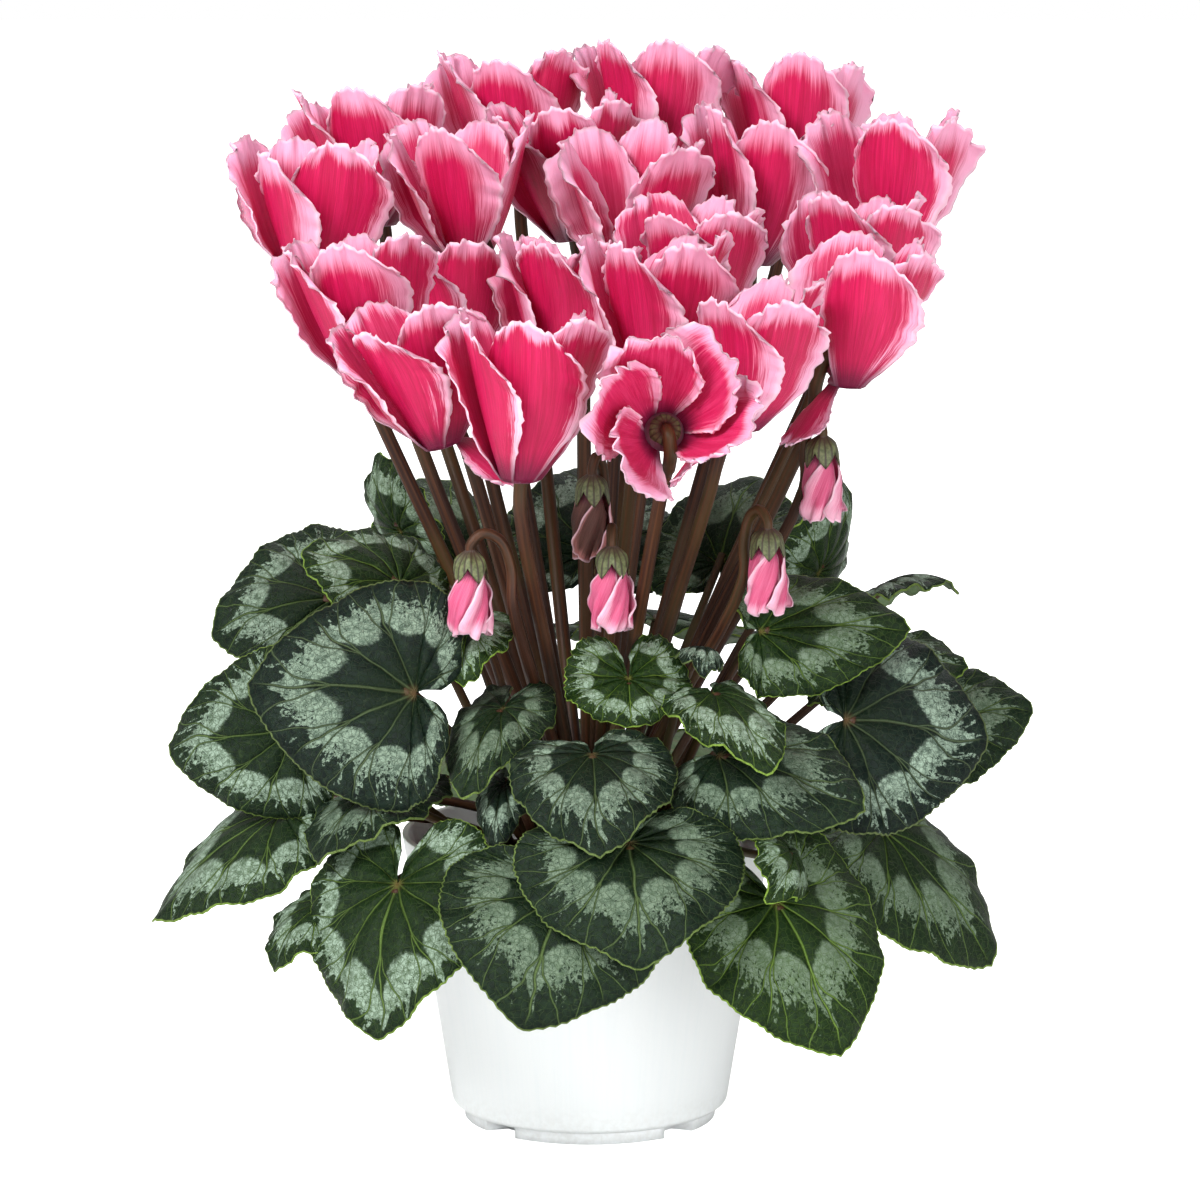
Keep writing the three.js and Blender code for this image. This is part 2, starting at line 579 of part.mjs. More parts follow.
// Stems gather towards the middle of the tuber's top, each one keeping its own direction.
function stemSolid(crook, frame, radius) {
  const bend = crook.map((point) => vector(...point).applyMatrix4(frame));
  const { x, y } = bend[0];
  const root = tuberPlace(STEM_GATHERING * Math.hypot(x, y), Math.atan2(y, x)).place;
  root.z -= STEM_ROOT_DEPTH;
  const line = new PointedLine([root, root.clone().lerp(bend[0], 0.5), ...bend]);
  return rod(line, radius, STEM_SIDES, line.points.length - 1);
}

// A bud: furled petals wound round each other below the calyx.
function budSolid(bud) {
  const grids = BUD_PETAL_PLACES.map(() =>
    BUD_PETAL_STEPS.map((share) => {
      const swell = Math.sin(Math.PI * Math.min(1, 0.1 + 0.8 * share));
      const belly = BUD_TIP_RADIUS + (BUD_RADIUS - BUD_TIP_RADIUS) * swell;
      const half = share ? BUD_PETAL_HALF_ANGLE : BUD_BASE_HALF_ANGLE;
      return (share ? [-1, 0, 1] : [-1, 1, 1]).map((across) => {
        const angle = radians(across * half + BUD_TWIST * share);
        const radius = belly + BUD_PETAL_WINDING * across;
        const height = -CALYX_HEIGHT - 1 - BUD_LENGTH * share * (1 - BUD_TIP_ROUNDING * across * across);
        return vector(radius * Math.cos(angle), -radius * Math.sin(angle), height);
      });
    }),
  );
  const apex = vector(0, 0, -CALYX_HEIGHT - PETAL_THICKNESS);
  return corolla(grids, BUD_PETAL_PLACES, apex).transform(budFrame(bud).toArray());
}

const WHITE = new THREE.MeshStandardMaterial({ color: 0xf2f5f6, roughness: 0.35, metalness: 0 });
const COMPOST = new THREE.MeshStandardMaterial({ color: 0x2e2119, roughness: 1, metalness: 0 });
const STEM = new THREE.MeshStandardMaterial({ color: 0x5d3a2b, roughness: 0.6, metalness: 0 });
const LEAF = new THREE.MeshStandardMaterial({ color: 0x24452e, roughness: 0.5, metalness: 0 });
const PETAL = new THREE.MeshStandardMaterial({ color: 0xd81b5a, roughness: 0.5, metalness: 0 });

const cyclamen = new THREE.Group();
cyclamen.add(part("pot", potSolid(), WHITE), part("compost", compostSolid(), COMPOST));

const stems = [...BLOOMS.map(bloomStem), ...BUDS.map(budStem)];
cyclamen.add(part("tuber_and_stems", fused([tuberSolid(0), ...stems]), STEM));

const leaves = [...LEAVES, ...backLeaves()].map(leafOf);
const roots = stalkRoots(leaves);
for (const node of new Set(leaves.map((leaf) => leaf.node))) {
  const solids = leaves.filter((leaf) => leaf.node === node).map((leaf) => leafSolid(leaf, roots.get(leaf)));
  cyclamen.add(part(node, fused(solids), LEAF));
}

BLOOMS.forEach((bloom, i) => cyclamen.add(part(`bloom_${i + 1}`, bloomSolid(bloom, i), PETAL)));
BUDS.forEach((bud, i) => cyclamen.add(part(`bud_${i + 1}`, budSolid(bud), PETAL)));
export default cyclamen;
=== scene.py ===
import math

import bmesh
import bpy
import numpy as np
from mathutils import Matrix, Vector, noise


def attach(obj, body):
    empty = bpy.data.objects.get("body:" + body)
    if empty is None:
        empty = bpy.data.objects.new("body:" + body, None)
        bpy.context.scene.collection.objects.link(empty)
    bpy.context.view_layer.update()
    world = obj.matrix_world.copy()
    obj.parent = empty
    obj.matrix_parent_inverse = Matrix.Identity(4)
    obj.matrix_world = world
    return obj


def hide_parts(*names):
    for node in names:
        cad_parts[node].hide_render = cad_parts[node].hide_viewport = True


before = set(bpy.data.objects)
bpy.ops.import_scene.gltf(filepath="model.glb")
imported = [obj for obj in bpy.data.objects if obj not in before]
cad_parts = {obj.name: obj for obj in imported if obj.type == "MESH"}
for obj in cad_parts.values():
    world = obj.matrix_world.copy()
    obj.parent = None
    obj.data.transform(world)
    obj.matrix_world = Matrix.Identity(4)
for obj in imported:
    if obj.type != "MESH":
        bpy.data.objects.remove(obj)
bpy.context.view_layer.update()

MM = 0.001

# Pot.
POT_RIM_RADIUS = 70
POT_BASE_RADIUS = 50.5
POT_HEIGHT = 108
POT_WALL = 1.8
POT_LIP_HEIGHT = 13
POT_LIP_DEPTH = 2.2
POT_LIP_TAPER = 0.6
POT_EDGE = 1.5
FOOT_HEIGHT = 5
FOOT_RADIUS = 47
FOOT_NOTCH_ANGLE = 17
FOOT_NOTCH_DEPTH = 8
FOOT_NOTCHES = 4

# Compost and tuber.
COMPOST_TOP = 94
COMPOST_RADIUS = 62
TUBER_RADIUS = 37
TUBER_HALF_HEIGHT = 16
TUBER_CENTRE = 91
BARK_BUMP = 0.6
COMPOST_MOUND = 1.1
COMPOST_CRUMB = 0.6

# Leaves.
BLADE_THICKNESS = 0.8
BLADE_ROWS = 13
BLADE_HALF_TURN = 168
BLADE_WAVES = 3
TOOTH_PITCH = 2.6
TOOTH_DEPTH = 0.5
BLADE_SWELL = 7
BLADE_RUFFLE = 1.4
BLADE_CRINKLE = 0.8
BLADE_DIMPLE = 1.2
STALK_RADIUS = 1.7
STALK_RINGS = [22, 28, 34]
STALK_SPACING = 1.5
STALK_FOOT_DEPTH = 2
STALK_RISE = 50
STALK_END = 3.5
STALK_END_DROP = 12
STALK_END_INWARD = 14
# The rib that the stalk runs into is straight from the heart to this share of the way to the tip.
RIB_SHARE = 0.56
LEAF_DOME_CENTRE = 70
# Outline of a leaf, from the heart: degrees off the tip, and reach as a share of heart to tip.
LEAF_OUTLINE = [[0, 1], [28, 0.81], [62, 0.71], [98, 0.64], [134, 0.58], [158, 0.43], [168, 0.24]]
LEAF_OUTLINE_WIDTH = 1.3
# Main veins stand this many degrees apart round the heart.
VEIN_SPACING = 31

# Blooms and buds.
PETAL_THICKNESS = 0.6
PETAL_LENGTH = 51
PETAL_HALF_WIDTH = 19
PETAL_PLACES = [0, 59, 118, 242, 301]
PETAL_WINDING = 5
PETAL_DROP = 0.4
PETAL_DROP_NARROWING = 0.75
PETAL_FLARE = 2.4
PETAL_END_CURL = 1.6
PETAL_ROLL = 3.4
PETAL_COLUMNS = 36
PETAL_ROWS = 30
MOUTH_RADIUS = 6.5
STEM_GATHERING = 0.085
BUD_LENGTH = 22
BUD_TUCK = 2.5
BUD_PETALS = 4
BUD_COLUMNS = 18
BUD_ROWS = 20
# The draws of the bud petals and of the bud stems start at these numbers, past those of the blooms.
BUD_PETAL_DRAWS = 200
BUD_STEM_DRAWS = 50
CALYX_HEIGHT = 6
SEPAL_THICKNESS = 0.4
# Radii of a stem, from its foot to its end.
BLOOM_STEM = [2.7, 2.5, 2.5, 2.1]
BUD_STEM = [2.4, 2, 2, 1.7]
# Calyx: height of its top on the axes of the bloom or bud, radius there, length, and radius lower down.
BLOOM_CALYX = [8.2, 1.8, 5.4, 5]
BUD_CALYX = [2.4, 1.6, 11.5, 5.7]
# The closed ring at the mouth of a bloom, from its outside to the axis and back inside.
THROAT = [
    [6.4, -0.5], [7.0, 0.2], [6.9, 1.4], [5.2, 3.6], [2.8, 5.7], [0, 6.5],
    [0, 5.3], [2.4, 4.6], [4.4, 2.6], [5.7, 0.6], [6.4, -0.5],
]

# Leaves, one row each: node, ring of the tuber that the stalk stands in, heart, tip, full width and form.
LEAVES = [
    ["leaf_front_low_1", 2, [-68, -111, 113], [-73, -132, 61], 74, {"wave": 2.5, "lobe": 1}],
    ["leaf_front_low_1", 2, [-92, -86, 101], [-112, -101, 79], 40, {}],
    ["leaf_front_low_2", 2, [-10, -134, 115], [-23, -154, 71], 82, {"wave": 4, "turn": 200, "lobe": 0.6}],
    ["leaf_front_low_3", 2, [66, -116, 108], [87, -132, 55], 76, {"wave": 2.5}],
    ["leaf_front_low_3", 2, [71, -112, 125], [62, -138, 112], 26, {}],
    ["leaf_front_mid_1", 1, [14, -133, 133], [18, -160, 93], 80, {"wave": 4, "lobe": 0.6}],
    ["leaf_front_mid_2", 1, [46, -94, 156], [97, -110, 137], 60, {"wave": 3, "lobe": 0.5}],
    ["leaf_front_mid_3", 1, [-31, -78, 170], [-44, -112, 142], 34, {"wave": 1.5}],
    ["leaf_front_mid_3", 1, [-30, -96, 146], [-32, -115, 125], 20, {}],
    ["leaf_front_top_1", 0, [1, -110, 160], [4, -147, 129], 58, {"wave": 2.5, "lobe": 0.6}],
    [
        "leaf_front_top_2", 0, [14, -80, 181], [15, -91, 164], 46,
        {"bow": 1.5, "wave": 1.5, "dome": 3, "lobe": 2.2},
    ],
    ["leaf_front_top_3", 0, [44, -90, 178], [64, -128, 155], 38, {"wave": 1.5, "lobe": 0.4}],
    ["leaf_front_top_4", 0, [-41, -66, 199], [-44, -86, 178], 28, {"lobe": 0.5}],
    ["leaf_front_top_5", 0, [40, -72, 190], [41, -89, 182], 16, {"lobe": 0.4}],
    ["leaf_left_1", 1, [-62, -92, 178], [-122, -72, 177], 82, {"wave": 3, "roll": -22, "lobe": 0.5}],
    ["leaf_left_2", 2, [-112, -46, 126], [-158, -43, 81], 66, {"wave": 3, "lobe": 0.4}],
    ["leaf_left_3", 2, [-75, -73, 139], [-95, -101, 117], 50, {}],
    ["leaf_left_4", 2, [-106, -58, 158], [-153, -34, 147], 62, {"wave": 2.5, "roll": -35, "lobe": 0.6}],
    ["leaf_left_5", 1, [-96, 14, 194], [-141, 14, 178], 72, {"wave": 2, "roll": -52}],
    ["leaf_left_6", 0, [-70, -8, 203], [-107, -4, 212], 52, {"wave": 2, "roll": -28}],
    ["leaf_left_7", 0, [-72, 44, 214], [-79, 58, 242], 34, {}],
    ["leaf_right_1", 1, [92, -70, 164], [143, -56, 151], 84, {"wave": 3, "roll": 16, "lobe": 0.5}],
    ["leaf_right_2", 0, [61, -69, 196], [115, -54, 193], 48, {"wave": 2, "roll": 24, "lobe": 0.3}],
    ["leaf_right_3", 2, [106, -60, 122], [144, -58, 69], 76, {"wave": 3, "lobe": 0.8}],
    ["leaf_right_4", 1, [100, 0, 172], [140, -2, 168], 46, {"wave": 2, "roll": 30}],
    ["leaf_right_5", 2, [124, -14, 150], [164, -8, 155], 48, {"wave": 2, "roll": 25}],
    ["leaf_right_6", 0, [86, 20, 202], [93, 34, 238], 48, {"wave": 2}],
    ["leaf_right_6", 0, [108, 34, 194], [139, 34, 192], 34, {}],
]
# Leaves at the back, tier by tier: node, ring, first and last compass direction, how many, distance from the
# axis and height of heart and of tip, full width, how much further out every other one stands, and lobe.
BACK_TIERS = [
    ["leaves_back_low", 2, 20, 172, 6, [98, 124], [138, 84], 66, 9, 1],
    ["leaves_back_mid", 1, 42, 146, 4, [90, 170], [132, 154], 72, 19, 0.5],
    ["leaves_back_top", 0, 58, 122, 3, [94, 196], [124, 224], 74, 9, 0.8],
]
# How fresh a leaf's green is, from 0, dark and bluish, to 1, young and yellowish, where it isn't by chance.
FRESHNESS = {
    "leaf_front_top_2": 0.9, "leaf_front_low_3": 0.85, "leaf_right_3": 0.6, "leaf_front_top_3": 0.7,
    "leaf_right_2": 0.7, "leaf_front_low_1": 0.6, "leaf_left_2": 0.55, "leaf_front_top_4": 0.9,
    "leaf_left_1": 0.05, "leaf_right_1": 0.0, "leaf_front_top_1": 0.15, "leaf_front_mid_1": 0.25,
    "leaf_front_low_2": 0.3, "leaf_front_mid_2": 0.2,
}

# Blooms: centre of the mouth, lean of the turned-back petals, how far they open, and what is of its own: the
# length of the petals, the compass direction of the side away from the stem, where it isn't straight out from
# the pot's axis, and the petal that hangs down.
BLOOMS = [
    [[-52, -78, 265], [-0.3, -0.1, 1], 14, {"drop": 2}],
    [[-24, -108, 257], [0.02, -0.05, 1], 13, {"long": 56, "front": -90}],
    [[-54, 2, 275], [-0.05, 0.1, 1], 14, {}],
    [[26, -112, 274], [0.1, -1, 0.35], 15, {"long": 40, "front": 98}],
    [[23, -45, 280], [0, -0.1, 1], 15, {"long": 54}],
    [[53, -86, 272], [0.05, -0.1, 1], 14, {"drop": 3}],
    [[92, -54, 283], [0.08, -0.05, 1], 15, {"drop": 3}],
    [[37, 1, 296], [0, 0, 1], 14, {"long": 45}],
    [[-79, -36, 282], [-0.15, -0.05, 1], 14, {}],
    [[-8, -15, 278], [0, 0, 1], 13.5, {}],
    [[16, 44, 311], [0, -0.1, 1], 16, {}],
    [[110, 49, 318], [0.05, 0, 1], 16, {}],
    [[-45, 48, 315], [-0.05, -0.05, 1], 17, {}],
    [[-103, 22, 310], [0.05, 0, 1], 17, {}],
    [[-81, 86, 325], [-0.1, 0.1, 1], 16, {"front": -100}],
    [[-6, 86, 320], [-0.15, 0.05, 1], 15, {"front": -90}],
    [[-30, 128, 335], [-0.05, 0.1, 1], 16, {"front": -100}],
    [[22, 128, 338], [0.05, 0.15, 1], 15.5, {"front": -80}],
    [[62, 75, 312], [0.1, 0.05, 1], 16, {"long": 56, "front": -90}],
    [[77, 138, 331], [0.05, 0.15, 1], 16, {"front": -90}],
    [[97, 3, 293], [0, 0, 1], 14, {}],
]
# A bloom that stands higher is fresher: height of the lowest mouth, and how far above it the highest is.
LOWEST_BLOOM = 257
BLOOM_SPREAD = 81
# Bends of the end of a stem, on the axes of the bloom or bud that it carries.
BLOOM_CROOK = [[-12.6, 0, -14], [-12.2, 0, -2], [-8.6, 0, 9.2], [-3.2, 0, 11.6], [0, 0, 7]]
# Buds: top of the calyx, the compass direction in which the stem stands, and how far off.
BUDS = [
    [[-42, -86, 226], 10, 15],
    [[8, -76, 226], 90, 9],
    [[63, -86, 234], 130, 13],
    [[83, -66, 264], 135, 9],
    [[1, -52, 248], 60, 9],
]
# The same for a bud, with the first number as a share of how far off the stem stands.
BUD_CROOK = [[-1, 0, -18], [-0.96, 0, -4], [-0.7, 0, 5.5], [-0.3, 0, 8], [0, 0, 4], [0, 0, 0.5]]


def draw(piece, use):
    """A repeatable draw between -1 and 1 for a piece's number and the use that it is for."""
    mixed = math.sin(piece * 12.9898 + use * 78.233) * 43758.5453
    return 2 * (mixed - math.floor(mixed)) - 1


def cubic(start, end, start_slope, end_slope, t):
    """The smooth way from start to end, as t goes from 0 to 1, with the given slopes at the two."""
    ends = start * (2 * t**3 - 3 * t**2 + 1) + end * (3 * t**2 - 2 * t**3)
    return ends + start_slope * (t**3 - 2 * t**2 + t) + end_slope * (t**3 - t**2)


def smooth_through(at, knots):
    """Values of a smooth curve through the knots, rows of place and value, that never overshoots them."""
    xs, ys = np.array(knots, float).T
    rise = np.diff(ys) / np.diff(xs)
    slope = np.concatenate([rise[:1], np.zeros(len(xs) - 2), rise[-1:]])
    same = rise[:-1] * rise[1:] > 0
    both = np.where(same, rise[:-1] + rise[1:], 1)
    slope[1:-1] = np.where(same, 2 * rise[:-1] * rise[1:] / both, 0)
    k = np.clip(np.searchsorted(xs, at, side="right") - 1, 0, len(xs) - 2)
    width = xs[k + 1] - xs[k]
    return cubic(ys[k], ys[k + 1], width * slope[k], width * slope[k + 1], (at - xs[k]) / width)


def line_through(points, steps):
    """Points of a smooth line through the given ones, with the same number of steps to each stretch."""
    p = [2 * points[0] - points[1], *points, 2 * points[-1] - points[-2]]
    line = [points[0]]
    for a, b, c, d in zip(p, p[1:], p[2:], p[3:]):
        before, here, after = (math.sqrt((n - m).length) for m, n in ((a, b), (b, c), (c, d)))
        start = here * ((b - a) / before - (c - a) / (before + here) + (c - b) / here)
        end = here * ((c - b) / here - (d - b) / (here + after) + (d - c) / after)
        line += [cubic(b, c, start, end, i / steps) for i in range(1, steps + 1)]
    return line


def bent_line(points, steps):
    """Points of the cubic line from the first point to the fourth that is drawn to the other two."""
    a, b, c, d = points
    shares = [i / steps for i in range(steps + 1)]
    return [
        a * (1 - t) ** 3 + b * 3 * t * (1 - t) ** 2 + c * 3 * t**2 * (1 - t) + d * t**3 for t in shares
    ]


# Building blocks. Each adds to a mesh in the making, in millimetres.
def new_shape():
    shape = bmesh.new()
    shape.loops.layers.uv.new("UVMap")
    for name in ("freshness", "chance"):
        shape.verts.layers.float.new(name)
    return shape


def warped_grid(shape, columns, rows, place):
    """Adds a grid whose points go where place puts them, given across and along from -1 to 1."""
    made = bmesh.ops.create_grid(shape, x_segments=columns, y_segments=rows, size=1, calc_uvs=True)["verts"]
    flat = np.array([vertex.co for vertex in made])
    for vertex, point in zip(made, place(flat[:, 0], flat[:, 1]).tolist()):
        vertex.co = point
    made = list(made)
    bmesh.ops.remove_doubles(shape, verts=made, dist=1e-4)
    return [vertex for vertex in made if vertex.is_valid]


def faces_of(points):
    return list({face for point in points for face in point.link_faces})


def mark(shape, points, marks):
    for name, value in marks.items():
        layer = shape.verts.layers.float[name]
        for point in points:
            point[layer] = value


def sheet(shape, columns, rows, place, thickness, material=0, under=0, **marks):
    """Adds a warped grid with its thickness on the under side, closed round its rim."""
    points = warped_grid(shape, columns, rows, place)
    mark(shape, points, marks)
    lower = faces_of(points)
    for part in lower + points:
        part.normal_update()
    lift = {tuple(point.co): point.normal * thickness for point in points}
    for face in lower:
        face.material_index = material
    made = bmesh.ops.extrude_face_region(shape, geom=lower, use_keep_orig=True)["geom"]
    bmesh.ops.reverse_faces(shape, faces=lower)
    for face in lower:
        face.material_index = under
    for part in made:
        if isinstance(part, bmesh.types.BMVert):
            part.co += lift[tuple(part.co)]


def tube(shape, line, radii, sides, material=0, **marks):
    """Adds a round stem along a line of points, closed at both ends."""
    places = np.array(line)
    ahead = np.gradient(places, axis=0)
    ahead /= np.linalg.norm(ahead, axis=1, keepdims=True)
    side = np.cross(ahead[0], [0.3, 0.9, 0.1])
    sides_along = []
    for direction in ahead:
        side = side - direction * side.dot(direction)
        side /= np.linalg.norm(side)
        sides_along.append(side)
    across = np.array(sides_along)
    other = np.cross(ahead, across)
    radii = np.interp(np.linspace(0, 1, len(line)), np.linspace(0, 1, len(radii)), radii)

    def place(around, along):
        row = np.rint((along + 1) / 2 * (len(line) - 1)).astype(int)
        angle = np.pi * around
        out = across[row] * np.cos(angle)[:, None] + other[row] * np.sin(angle)[:, None]
        return places[row] + out * radii[row][:, None]

    points = warped_grid(shape, sides, len(line) - 1, place)
    rims = [edge for edge in {e for point in points for e in point.link_edges} if edge.is_boundary]
    bmesh.ops.holes_fill(shape, edges=rims, sides=sides)
    for face in faces_of(points):
        face.material_index = material
    mark(shape, points, marks)


def turned(shape, profile, steps, material=0, place=Matrix.Identity(4)):
    """Adds a solid turned about Z from a profile that starts and ends on the axis or closes on itself."""
    points = [shape.verts.new((radius, 0, height)) for radius, height in profile]
    edges = [shape.edges.new(pair) for pair in zip(points, points[1:])]
    before = set(shape.faces)
    bmesh.ops.spin(
        shape,
        geom=points + edges,
        cent=(0, 0, 0),
        axis=(0, 0, 1),
        angle=2 * math.pi,
        steps=steps,
        use_merge=True,
    )
    faces = [face for face in shape.faces if face not in before]
    made = list({vertex for face in faces for vertex in face.verts})
    bmesh.ops.remove_doubles(shape, verts=made, dist=1e-4)
    made = [vertex for vertex in made if vertex.is_valid]
    faces = [face for face in faces if face.is_valid]
    bmesh.ops.recalc_face_normals(shape, faces=faces)
    for face in faces:
        face.material_index = material
    bmesh.ops.transform(shape, matrix=place, verts=made)
    return made


def add_object(name, data):
    made = bpy.data.objects.new(name, data)
    bpy.context.scene.collection.objects.link(made)
    return made


def add_mesh(shape, name, materials):
    mesh = bpy.data.meshes.new(name)
    shape.to_mesh(mesh)
    shape.free()
    for material in materials:
        mesh.materials.append(material)
    return add_object(name, mesh)


def finish(shape, name, nodes, materials):
    """Makes the shape an object in metres that stands for the given nodes of the frame."""
    bmesh.ops.scale(shape, vec=(MM, MM, MM), verts=shape.verts)
    for face in shape.faces:
        face.smooth = True
    piece = add_mesh(shape, name, materials)
    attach(piece, "root")
    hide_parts(*nodes)


# Materials.
class Graph:
    """Short words for making the nodes of one material or group."""

    def __init__(self, tree):
        self.tree = tree

    def add(self, kind, **settings):
        node = self.tree.nodes.new(kind)
        for name, value in settings.items():
            setattr(node, name, value)
        return node

    def put(self, value, socket):
        if isinstance(value, bpy.types.NodeSocket):
            self.tree.links.new(value, socket)
        else:
            socket.default_value = value

    def feed(self, kind, values, **settings):
        """The first output of a new node whose first inputs are the values."""
        node = self.add(kind, **settings)
        for value, socket in zip(values, node.inputs):
            self.put(value, socket)
        return node.outputs[0]

    def fill(self, node, **values):
        """The outputs of a node, once its named inputs are the values."""
        for name, value in values.items():
            self.put(value, node.inputs[name])
        return node.outputs

    def math(self, operation, *values):
        return self.feed("ShaderNodeMath", values, operation=operation)

    def times(self, value, factor):
        return self.math("MULTIPLY", value, factor)

    def scaled(self, value, factor, start):
        return self.math("MULTIPLY_ADD", value, factor, start)

    def plus(self, value, other):
        return self.math("ADD", value, other)

    def minus(self, value, other):
        return self.math("SUBTRACT", value, other)

    def rise(self, value, low, high):
        """0 below low and 1 above high, smooth between them; the other way round if low is the higher."""
        ends = (low, high, 0, 1) if low < high else (high, low, 1, 0)
        return self.feed("ShaderNodeMapRange", (value, *ends), interpolation_type="SMOOTHSTEP")

    def noise(self, place, scale, detail=2, roughness=0.5):
        node = self.add("ShaderNodeTexNoise")
        return self.fill(node, Vector=place, Scale=scale, Detail=detail, Roughness=roughness)["Fac"]

    def cells(self, place, scale, feature="F1"):
        node = self.add("ShaderNodeTexVoronoi", feature=feature)
        return self.fill(node, Vector=place, Scale=scale)["Distance"]

    def vector(self, x, y, z=0):
        return self.feed("ShaderNodeCombineXYZ", (x, y, z))

    def split(self, vector):
        node = self.add("ShaderNodeSeparateXYZ")
        self.put(vector, node.inputs[0])
        return tuple(node.outputs)

    def mix(self, share, one, other):
        node = self.add("ShaderNodeMix", data_type="RGBA")
        self.put(share, node.inputs["Factor"])
        # Inputs 6 and 7 are the two colours, and output 2 is the mixed one.
        for value, socket in zip((one, other), node.inputs[6:8]):
            self.put(value if isinstance(value, bpy.types.NodeSocket) else (*value, 1), socket)
        return node.outputs[2]

    def group(self, tree, **values):
        return self.fill(self.add("ShaderNodeGroup", node_tree=tree), **values)

    def mark(self, name):
        return self.add("ShaderNodeAttribute", attribute_name=name).outputs["Fac"]

    def where(self):
        return self.add("ShaderNodeTexCoord").outputs["Object"]

    def uv(self):
        return self.split(self.add("ShaderNodeTexCoord").outputs["UV"])[:2]


def new_group(name, inputs, outputs):
    """An empty node group: its graph, what it is given, and what it puts out to."""
    tree = bpy.data.node_groups.new(name, "ShaderNodeTree")
    for way, names in (("INPUT", inputs), ("OUTPUT", outputs)):
        for socket in names:
            kind = "NodeSocketVector" if socket == "Vector" else "NodeSocketFloat"
            tree.interface.new_socket(name=socket, in_out=way, socket_type=kind)
    graph = Graph(tree)
    given = graph.add("NodeGroupInput").outputs
    result = graph.add("NodeGroupOutput").inputs
    return graph, given, result


def grain_group():
    """Fine and coarse unevenness of a surface, for its bump, and a mottling for its colour."""
    graph, given, result = new_group("grain", ["Vector", "Size"], ["Height", "Mottle"])
    sized = graph.add("ShaderNodeVectorMath", operation="SCALE")
    graph.put(given["Vector"], sized.inputs[0])
    graph.put(given["Size"], sized.inputs["Scale"])
    fine = graph.noise(sized.outputs[0], 9, 4, 0.6)
    coarse = graph.noise(sized.outputs[0], 1.7, 3, 0.55)
    graph.put(graph.scaled(fine, 0.5, graph.times(coarse, 0.5)), result["Height"])
    graph.put(graph.rise(coarse, 0.3, 0.7), result["Mottle"])
    return graph.tree


def leaf_pattern_group():
    """Veins, silver band and pale edge of a leaf, from the turn round its heart and the way out of it."""
    graph, given, result = new_group(
        "leaf_pattern", ["Across", "Out", "Chance"], ["Silver", "Vein", "Edge", "Height"]
    )
    across, out, chance = given["Across"], given["Out"], given["Chance"]
    wander = graph.noise(graph.vector(graph.times(across, 1.6), out, chance), 2.2, 2)
    turn = graph.scaled(across, 2 * BLADE_HALF_TURN / VEIN_SPACING, -BLADE_HALF_TURN / VEIN_SPACING)
    turn = graph.plus(turn, graph.scaled(wander, 0.5, -0.25))
    # Distance from the nearest main vein, from 0 on it to 0.5 half way to the next.
    aside = graph.math("PINGPONG", turn, 0.5)
    # A vein forks half way out, and its branches run to the margin between it and the next.
    beyond = graph.math("MAXIMUM", graph.minus(out, 0.44), 0)
    branch = graph.math("ABSOLUTE", graph.scaled(beyond, -0.72, aside))
    main_width = graph.scaled(out, -0.012, 0.02)
    main = graph.rise(graph.math("DIVIDE", graph.times(aside, out), main_width), 1.7, 0.5)
    main = graph.times(main, graph.rise(out, 1, 0.8))
    fork = graph.rise(graph.times(branch, out), 0.015, 0.004)
    fork = graph.times(fork, graph.rise(out, 0.42, 0.5))
    vein = graph.math("MAXIMUM", main, graph.times(fork, 0.65))
    graph.put(vein, result["Vein"])
    # Inner edge of the silver: a rounded blob between each two veins, with a soft and uneven rim.
    off = graph.scaled(aside, -2, 1)
    arc = graph.math("SQRT", graph.math("MAXIMUM", graph.minus(1, graph.math("POWER", off, 2.4)), 0))
    shift = graph.scaled(chance, 0.03, graph.scaled(wander, 0.3, -0.15))
    spin = graph.times(turn, 5)
    crumble = graph.noise(graph.vector(spin, graph.times(out, 9), chance), 3, 4, 0.7)
    rim = graph.scaled(crumble, 0.09, graph.scaled(arc, -0.17, 0.615))
    inner = graph.plus(rim, shift)
    inside = graph.rise(graph.minus(out, inner), -0.02, 0.03)
    # Outer edge: thin tongues of silver reach out into the dark margin, with rounded bays between them.
    streaks = graph.noise(graph.vector(spin, graph.times(out, 2.4), chance), 1, 2, 0.6)
    swung = graph.scaled(streaks, 2.2, graph.times(turn, 3))
    ridge = graph.scaled(graph.math("PINGPONG", swung, 0.5), -2, 1)
    tall = graph.times(graph.math("POWER", ridge, 2.2), graph.rise(streaks, 0.3, 0.6))
    tongue = graph.scaled(tall, 0.2, graph.scaled(streaks, 0.22, 0.625))
    tongue = graph.plus(tongue, graph.scaled(crumble, 0.08, graph.times(shift, 0.6)))
    outer = graph.rise(graph.minus(tongue, out), -0.006, 0.014)
    speckling = graph.times(graph.minus(out, inner), 0.7)
    holes = graph.rise(graph.minus(crumble, speckling), 0.24, 0.3)
    # The veins stay clear of silver.
    clear = graph.rise(graph.times(aside, out), 0.004, 0.03)
    past_fork = graph.rise(graph.times(branch, out), 0.002, 0.02)
    branch_clear = graph.math("MAXIMUM", past_fork, graph.rise(out, 0.5, 0.45))
    silver = graph.times(graph.times(inside, outer), graph.times(clear, branch_clear))
    graph.put(graph.times(silver, holes), result["Silver"])
    graph.put(graph.rise(out, 0.984, 0.993), result["Edge"])
    # Veins lie in furrows, and the blade swells between them.
    swell = graph.math("SQRT", graph.times(aside, 2))
    furrow = graph.times(vein, -0.3)
    graph.put(graph.scaled(swell, 0.6, furrow), result["Height"])
    return graph.tree


